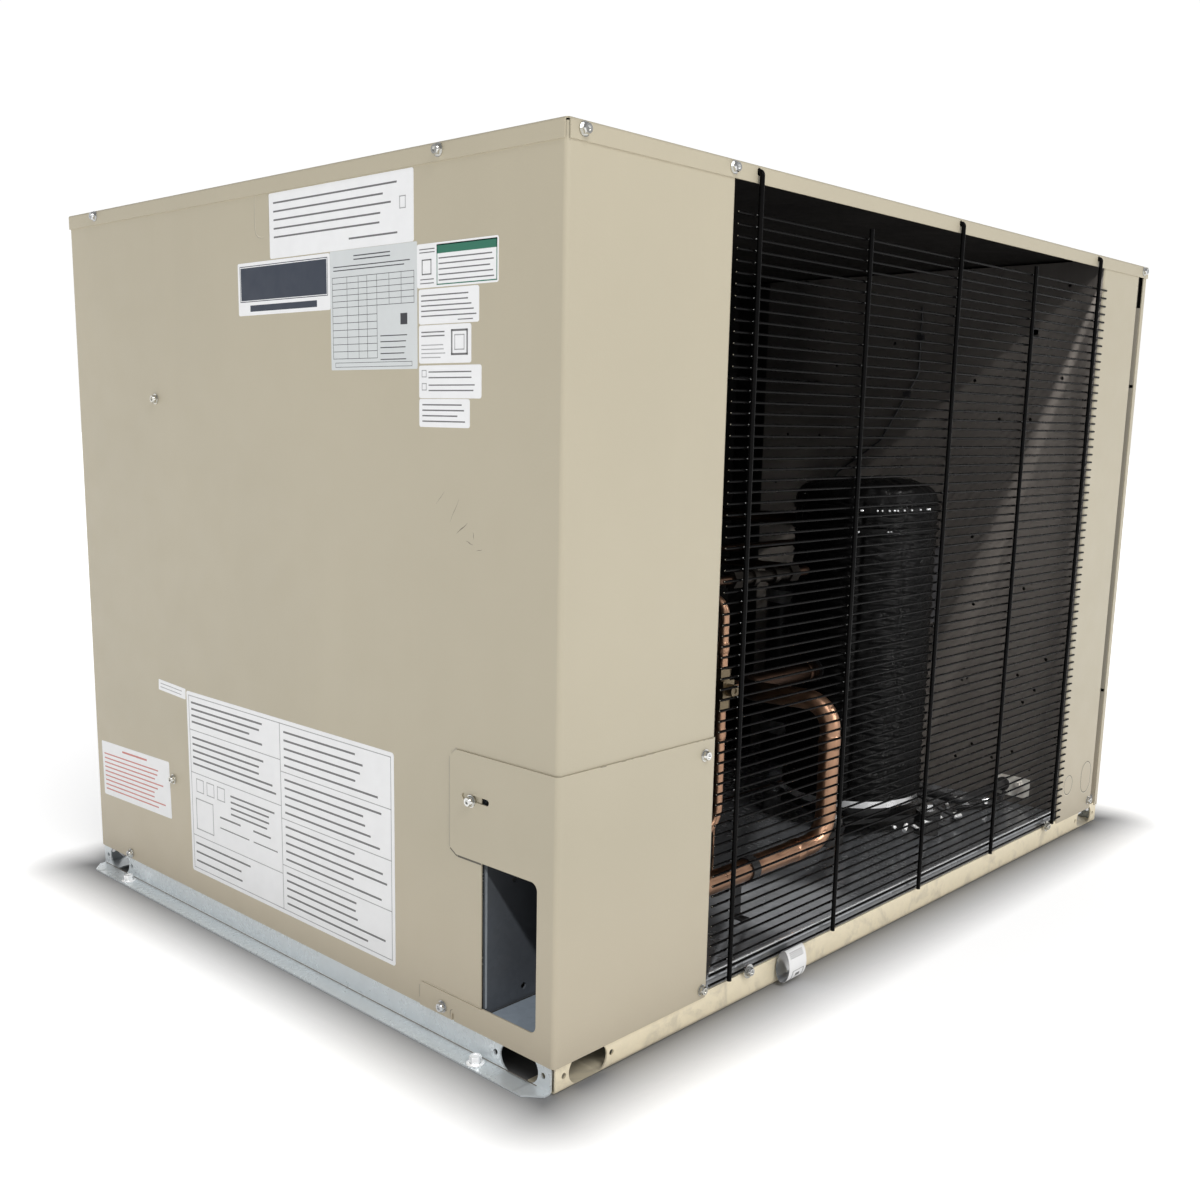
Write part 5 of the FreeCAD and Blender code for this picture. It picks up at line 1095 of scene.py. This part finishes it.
# pressed rings on the post: a painted shade line inside each ring, and painted highlight on its lower outer half and
# upper inner half
for cx, cz, rx, rz in ((1026.5, 72.8, 16.0, 22.0), (970.0, 72.0, 13.5, 13.5)):
    ring_strip(cx, cz, rx - 1.0, rz - 1.0, 0.0, 360.0, 0.8, 3)
    ring_strip(cx, cz, rx + 0.1, rz + 0.1, 180.0, 360.0, 0.9, 4)
    ring_strip(cx, cz, rx - 2.0, rz - 2.0, 0.0, 180.0, 0.8, 4)
gro = gr.make("fold_shade_and_highlight", [M["scuff_and_shade"], M["edge_soft_painted_shade"], M["bright_zinc"], M["edge_painted_shade"], M["edge_painted_highlight"], M["groove_shade"]], slot="galvanized")

# worn line where the cover's top edge meets the front
wl = Build()
rr = random.Random(5)
x_ = 30.0
while x_ < 186:
    ln_ = rr.uniform(3, 11)
    h_ = rr.uniform(0.25, 0.75)
    if rr.random() < (0.85 if 70 < x_ < 120 else 0.35):
        wl.quad([P(x_, -1.36, 267.9), P(x_ + ln_, -1.36, 267.9), P(x_ + ln_ * 0.8, -1.36, 267.9 - h_), P(x_ + ln_ * 0.2, -1.36, 267.9 - h_ * 0.7)], 0)
    x_ += ln_ + rr.uniform(1, 8)
wlo = wl.make("cover_wear", [M["scuff_and_shade"]], slot="tan_paint")

# ------------------------------------------------------------------ stage: floor, light, camera
fb2 = Build()
fb2.quad([(-30, -30, -0.0004), (30, -30, -0.0004), (30, 30, -0.0004), (-30, 30, -0.0004)])
me = bpy.data.meshes.new("floor")
me.from_pydata([tuple(v) for v in fb2.v], [], fb2.f)
floor = bpy.data.objects.new("floor", me)
bpy.context.scene.collection.objects.link(floor)
mf = Mat("floor_white", (0.90, 0.90, 0.90), 0.0, 0.85, spec=0.1)
mf.b.inputs["Emission Color"].default_value = (1.0, 1.0, 1.0, 1)
# painted contact shadow: close to the unit's footprint the floor darkens and glows less, and it is dark grey under the
# unit; further off it glows more so it stays evenly white
ax_ = mf.math("SUBTRACT", mf.math("ABSOLUTE", mf.axis("X")), 0.552)
ay_ = mf.math("SUBTRACT", mf.math("ABSOLUTE", mf.axis("Y")), 0.390)
px_ = mf.math("MAXIMUM", ax_, 0.0)
py_ = mf.math("MAXIMUM", ay_, 0.0)
away = mf.math("SQRT", mf.math("ADD", mf.math("MULTIPLY", px_, px_), mf.math("MULTIPLY", py_, py_)), 0.0)
contact_shadow_glow = mf.rng(away, 0.0, 0.080, 0.0, 0.60)
far_ = mf.rng(away, 0.15, 1.6, 0.0, 0.36)
contact_shadow_tone = mf.ramp(mf.rng(away, 0.0, 0.075, 0.0, 1.0), [(0.0, (0.36, 0.362, 0.37)), (1.0, (0.90, 0.90, 0.90))])
under_unit_shade = mf.rng(mf.math("MAXIMUM", ax_, ay_), -0.03, 0.0, 0.0, 1.0)
mf.set("Base Color", mf.mix(under_unit_shade, (0.13, 0.128, 0.125), contact_shadow_tone))
mf.set("Emission Strength", mf.math("ADD", contact_shadow_glow, far_))
me.materials.append(mf.m)

world = bpy.data.worlds.new("studio")
bpy.context.scene.world = world
world.use_nodes = True
wt = world.node_tree
bgn = wt.nodes["Background"]
bgn.inputs["Strength"].default_value = 1.0


def wn(kind, **kw):
    nd = wt.nodes.new(kind)
    for k, v in kw.items():
        setattr(nd, k, v)
    return nd


# brightness by direction: a white sweep behind the unit, white close to the horizon elsewhere, a dimmer ceiling above
gen = wn("ShaderNodeTexCoord").outputs["Generated"]
sep = wn("ShaderNodeSeparateXYZ")
wt.links.new(gen, sep.inputs[0])
dot = wn("ShaderNodeVectorMath", operation="DOT_PRODUCT")
dot.inputs[1].default_value = (0.73, 0.683, 0.0)
wt.links.new(gen, dot.inputs[0])
sweep = wn("ShaderNodeMapRange", interpolation_type="SMOOTHSTEP")
for k, v in (("From Min", 0.45), ("From Max", 0.75), ("To Min", 0.0), ("To Max", 0.33)):
    sweep.inputs[k].default_value = v
wt.links.new(dot.outputs["Value"], sweep.inputs["Value"])
sub = wn("ShaderNodeMath", operation="SUBTRACT")
wt.links.new(sep.outputs["Z"], sub.inputs[0])
wt.links.new(sweep.outputs["Result"], sub.inputs[1])
fac = wn("ShaderNodeMapRange", interpolation_type="SMOOTHSTEP")
for k, v in (("From Min", 0.06), ("From Max", 0.20), ("To Min", 0.0), ("To Max", 1.0)):
    fac.inputs[k].default_value = v
wt.links.new(sub.outputs[0], fac.inputs["Value"])
wr = wn("ShaderNodeValToRGB")
wr.color_ramp.elements[0].color = (1.02, 1.02, 1.02, 1)
wr.color_ramp.elements[1].color = (0.30, 0.30, 0.30, 1)
wt.links.new(fac.outputs["Result"], wr.inputs["Fac"])
wt.links.new(wr.outputs["Color"], bgn.inputs["Color"])


def area(name, loc, target, size, power, color=(1, 1, 1), size_y=None, spread=180.0):
    li = bpy.data.lights.new(name, "AREA")
    li.shape = "RECTANGLE" if size_y else "SQUARE"
    li.size = size
    if size_y:
        li.size_y = size_y
    li.energy = power
    li.color = color
    li.spread = math.radians(spread)
    ob = bpy.data.objects.new(name, li)
    bpy.context.scene.collection.objects.link(ob)
    ob.location = loc
    d = Vector(target) - Vector(loc)
    ob.rotation_euler = d.to_track_quat("-Z", "Y").to_euler()
    return ob


LIP = P(700, 0, 735)
OUTER = {"left_panel", "access_cover", "top_cover", "front_post", "control_access_panel", "right_rear_panel", "base_deck", "left_rail", "right_rail",
         "front_rail", "rear_rail", "line_chase", "chase_end", "casing_screws", "discharge_guard", "coil_guard"}
inside = bpy.data.collections.new("inside")
right_lit = bpy.data.collections.new("right_lit")
chase_lit = bpy.data.collections.new("chase_lit")
COPPER = {n for n in NODES if SLOT[n] in ("copper", "valve_brass", "black_enamel", "jacket", "heater_band")}
for name, ob in NODES.items():
    if name not in OUTER:
        (right_lit if name in COPPER else inside).objects.link(ob)
    if name in ("crankcase_heater", "compressor_bolts"):
        if name not in COPPER:
            right_lit.objects.link(ob)
    if name in ("line_chase", "chase_end", "base_deck"):
        chase_lit.objects.link(ob)
for ob in (do, po, bl, ro, fins, hlo):
    inside.objects.link(ob)
for ob in (co, hlo, po):
    right_lit.objects.link(ob)
jacket_lit = bpy.data.collections.new("jacket_lit")
for ob in (jk, so, lo):
    jacket_lit.objects.link(ob)
chase_lit.objects.link(fbo)
chase_lit.objects.link(cfo)


def tube_lamp(name, d, dist, length, width, e_pi, color=(1, 1, 1), only=None):
    """A tube lamp parallel to X, seen from the cover's edge in direction d; e_pi is what it gives there, face on."""
    v = Vector(d).normalized()
    li = bpy.data.lights.new(name, "AREA")
    li.shape = "RECTANGLE"
    li.size, li.size_y = length, width
    li.energy = e_pi * math.pi * math.pi * dist * dist
    li.color = color
    ob = bpy.data.objects.new(name, li)
    bpy.context.scene.collection.objects.link(ob)
    z = Vector((0.0, d[1], d[2])).normalized()
    x = Vector((1.0, 0.0, 0.0))
    y = z.cross(x)
    m = Matrix.Identity(4)
    for i in range(3):
        m[i][0], m[i][1], m[i][2] = x[i], y[i], z[i]
        m[i][3] = (LIP + v * dist)[i]
    ob.matrix_world = m
    if only is not None:
        ob.light_linking.receiver_collection = only
    return ob


area("key_soft", LIP + Vector((-0.55, -1.0, 0.9)).normalized() * 3.6, P(300, 100, 350), 1.5, 0.39 * math.pi * math.pi * 3.6 * 3.6, (1.0, 0.995, 0.985))
tube_lamp("tube_high", (-0.75, -1.0, 2.85), 2.6, 0.5, 0.20, 7.6, (1.0, 0.97, 0.93), inside)
tube_lamp("tube_mid", (-0.62, -1.0, 0.785), 3.0, 0.9, 0.014, 0.55, (1.0, 0.97, 0.93), inside)
tube_lamp("tube_low", (-0.55, -1.0, 0.53), 3.4, 0.9, 0.014, 0.10, (1.0, 0.97, 0.93), inside)
tube_lamp("tube_right", (0.62, -0.72, 0.42), 3.0, 0.5, 0.10, 0.30, (1.0, 0.985, 0.96), right_lit)
bend = bpy.data.lights.new("bend_spot", "SPOT")
bend.spot_size = math.radians(11.0)
bend.spot_blend = 0.7
bend.shadow_soft_size = 0.02
bend.color = (1.0, 0.985, 0.96)
bendo = bpy.data.objects.new("bend_spot", bend)
bpy.context.scene.collection.objects.link(bendo)
bd_ = Vector((0.30, -0.90, 0.46)).normalized()
bendo.location = P(455, 60, 125) + bd_ * 1.3
bendo.rotation_euler = (-bd_).to_track_quat("-Z", "Y").to_euler()
bend.energy = 0.55 * 4 * math.pi * math.pi * 1.3 * 1.3
bendo.light_linking.receiver_collection = right_lit
tube_lamp("tube_jacket", (0.10, -0.98, 0.40), 3.0, 0.16, 0.16, 1.7, (1.0, 0.99, 0.98), jacket_lit)
li_ = area("lamp_left", P(0, 50, 175) + Vector((-1.0, -0.7, 1.52)).normalized() * 2.4, P(0, 50, 175), 0.10, 1.15 * math.pi * math.pi * 2.4 * 2.4, (1.0, 1.0, 1.0))
li_.light_linking.receiver_collection = chase_lit

# soft pool of light on the deck behind the guard's front left foot
pool = bpy.data.lights.new("deck_pool", "SPOT")
pool.spot_size = math.radians(17.0)
pool.spot_blend = 0.55
pool.shadow_soft_size = 0.02
pool.color = (1.0, 0.99, 0.97)
poolo = bpy.data.objects.new("deck_pool", pool)
bpy.context.scene.collection.objects.link(poolo)
poolo.location = P(400, 58, 640)
pool.energy = 0.95 * 4 * math.pi * math.pi * 0.6 * 0.6
only_deck = bpy.data.collections.new("only_deck")
only_deck.objects.link(NODES["base_deck"])
poolo.light_linking.receiver_collection = only_deck
poolo.light_linking.blocker_collection = only_deck

# warm fill on the front skirt alone
rail_lit = bpy.data.collections.new("rail_lit")
for name in ("front_rail", "base_deck"):
    rail_lit.objects.link(NODES[name])
for ob in (tagp, gro):
    rail_lit.objects.link(ob)
fill = area("rail_fill", P(560, -1500, 130), P(560, 0, 20), 0.8, 0.19 * math.pi * math.pi * 1.5 * 1.5, (1.0, 0.95, 0.85))
fill.light_linking.receiver_collection = rail_lit

cam = bpy.data.cameras.new("camera")
camo = bpy.data.objects.new("camera", cam)
bpy.context.scene.collection.objects.link(camo)
C = Vector((-681.51 - OX, -676.49 - OY, 539.46)) / 1000.0
R = ((0.68574, -0.72757, 0.0202), (-0.11972, -0.14013, -0.98287), (0.71794, 0.67157, -0.1832))
right, down, fwd = (Vector(r).normalized() for r in R)
m4 = Matrix.Identity(4)
for i in range(3):
    m4[i][0], m4[i][1], m4[i][2], m4[i][3] = right[i], -down[i], -fwd[i], C[i]
camo.matrix_world = m4
cam.sensor_width = 36.0
cam.lens = 1287.63 / 1200.0 * 36.0
cam.shift_x = (600.0 - 597.314) / 1200.0
cam.shift_y = (660.604 - 600.0) / 1200.0
cam.clip_start = 0.05
cam.clip_end = 200.0
cam.dof.use_dof = False
bpy.context.scene.camera = camo
bpy.context.scene.view_settings.view_transform = "Standard"
bpy.context.scene.view_settings.look = "None"
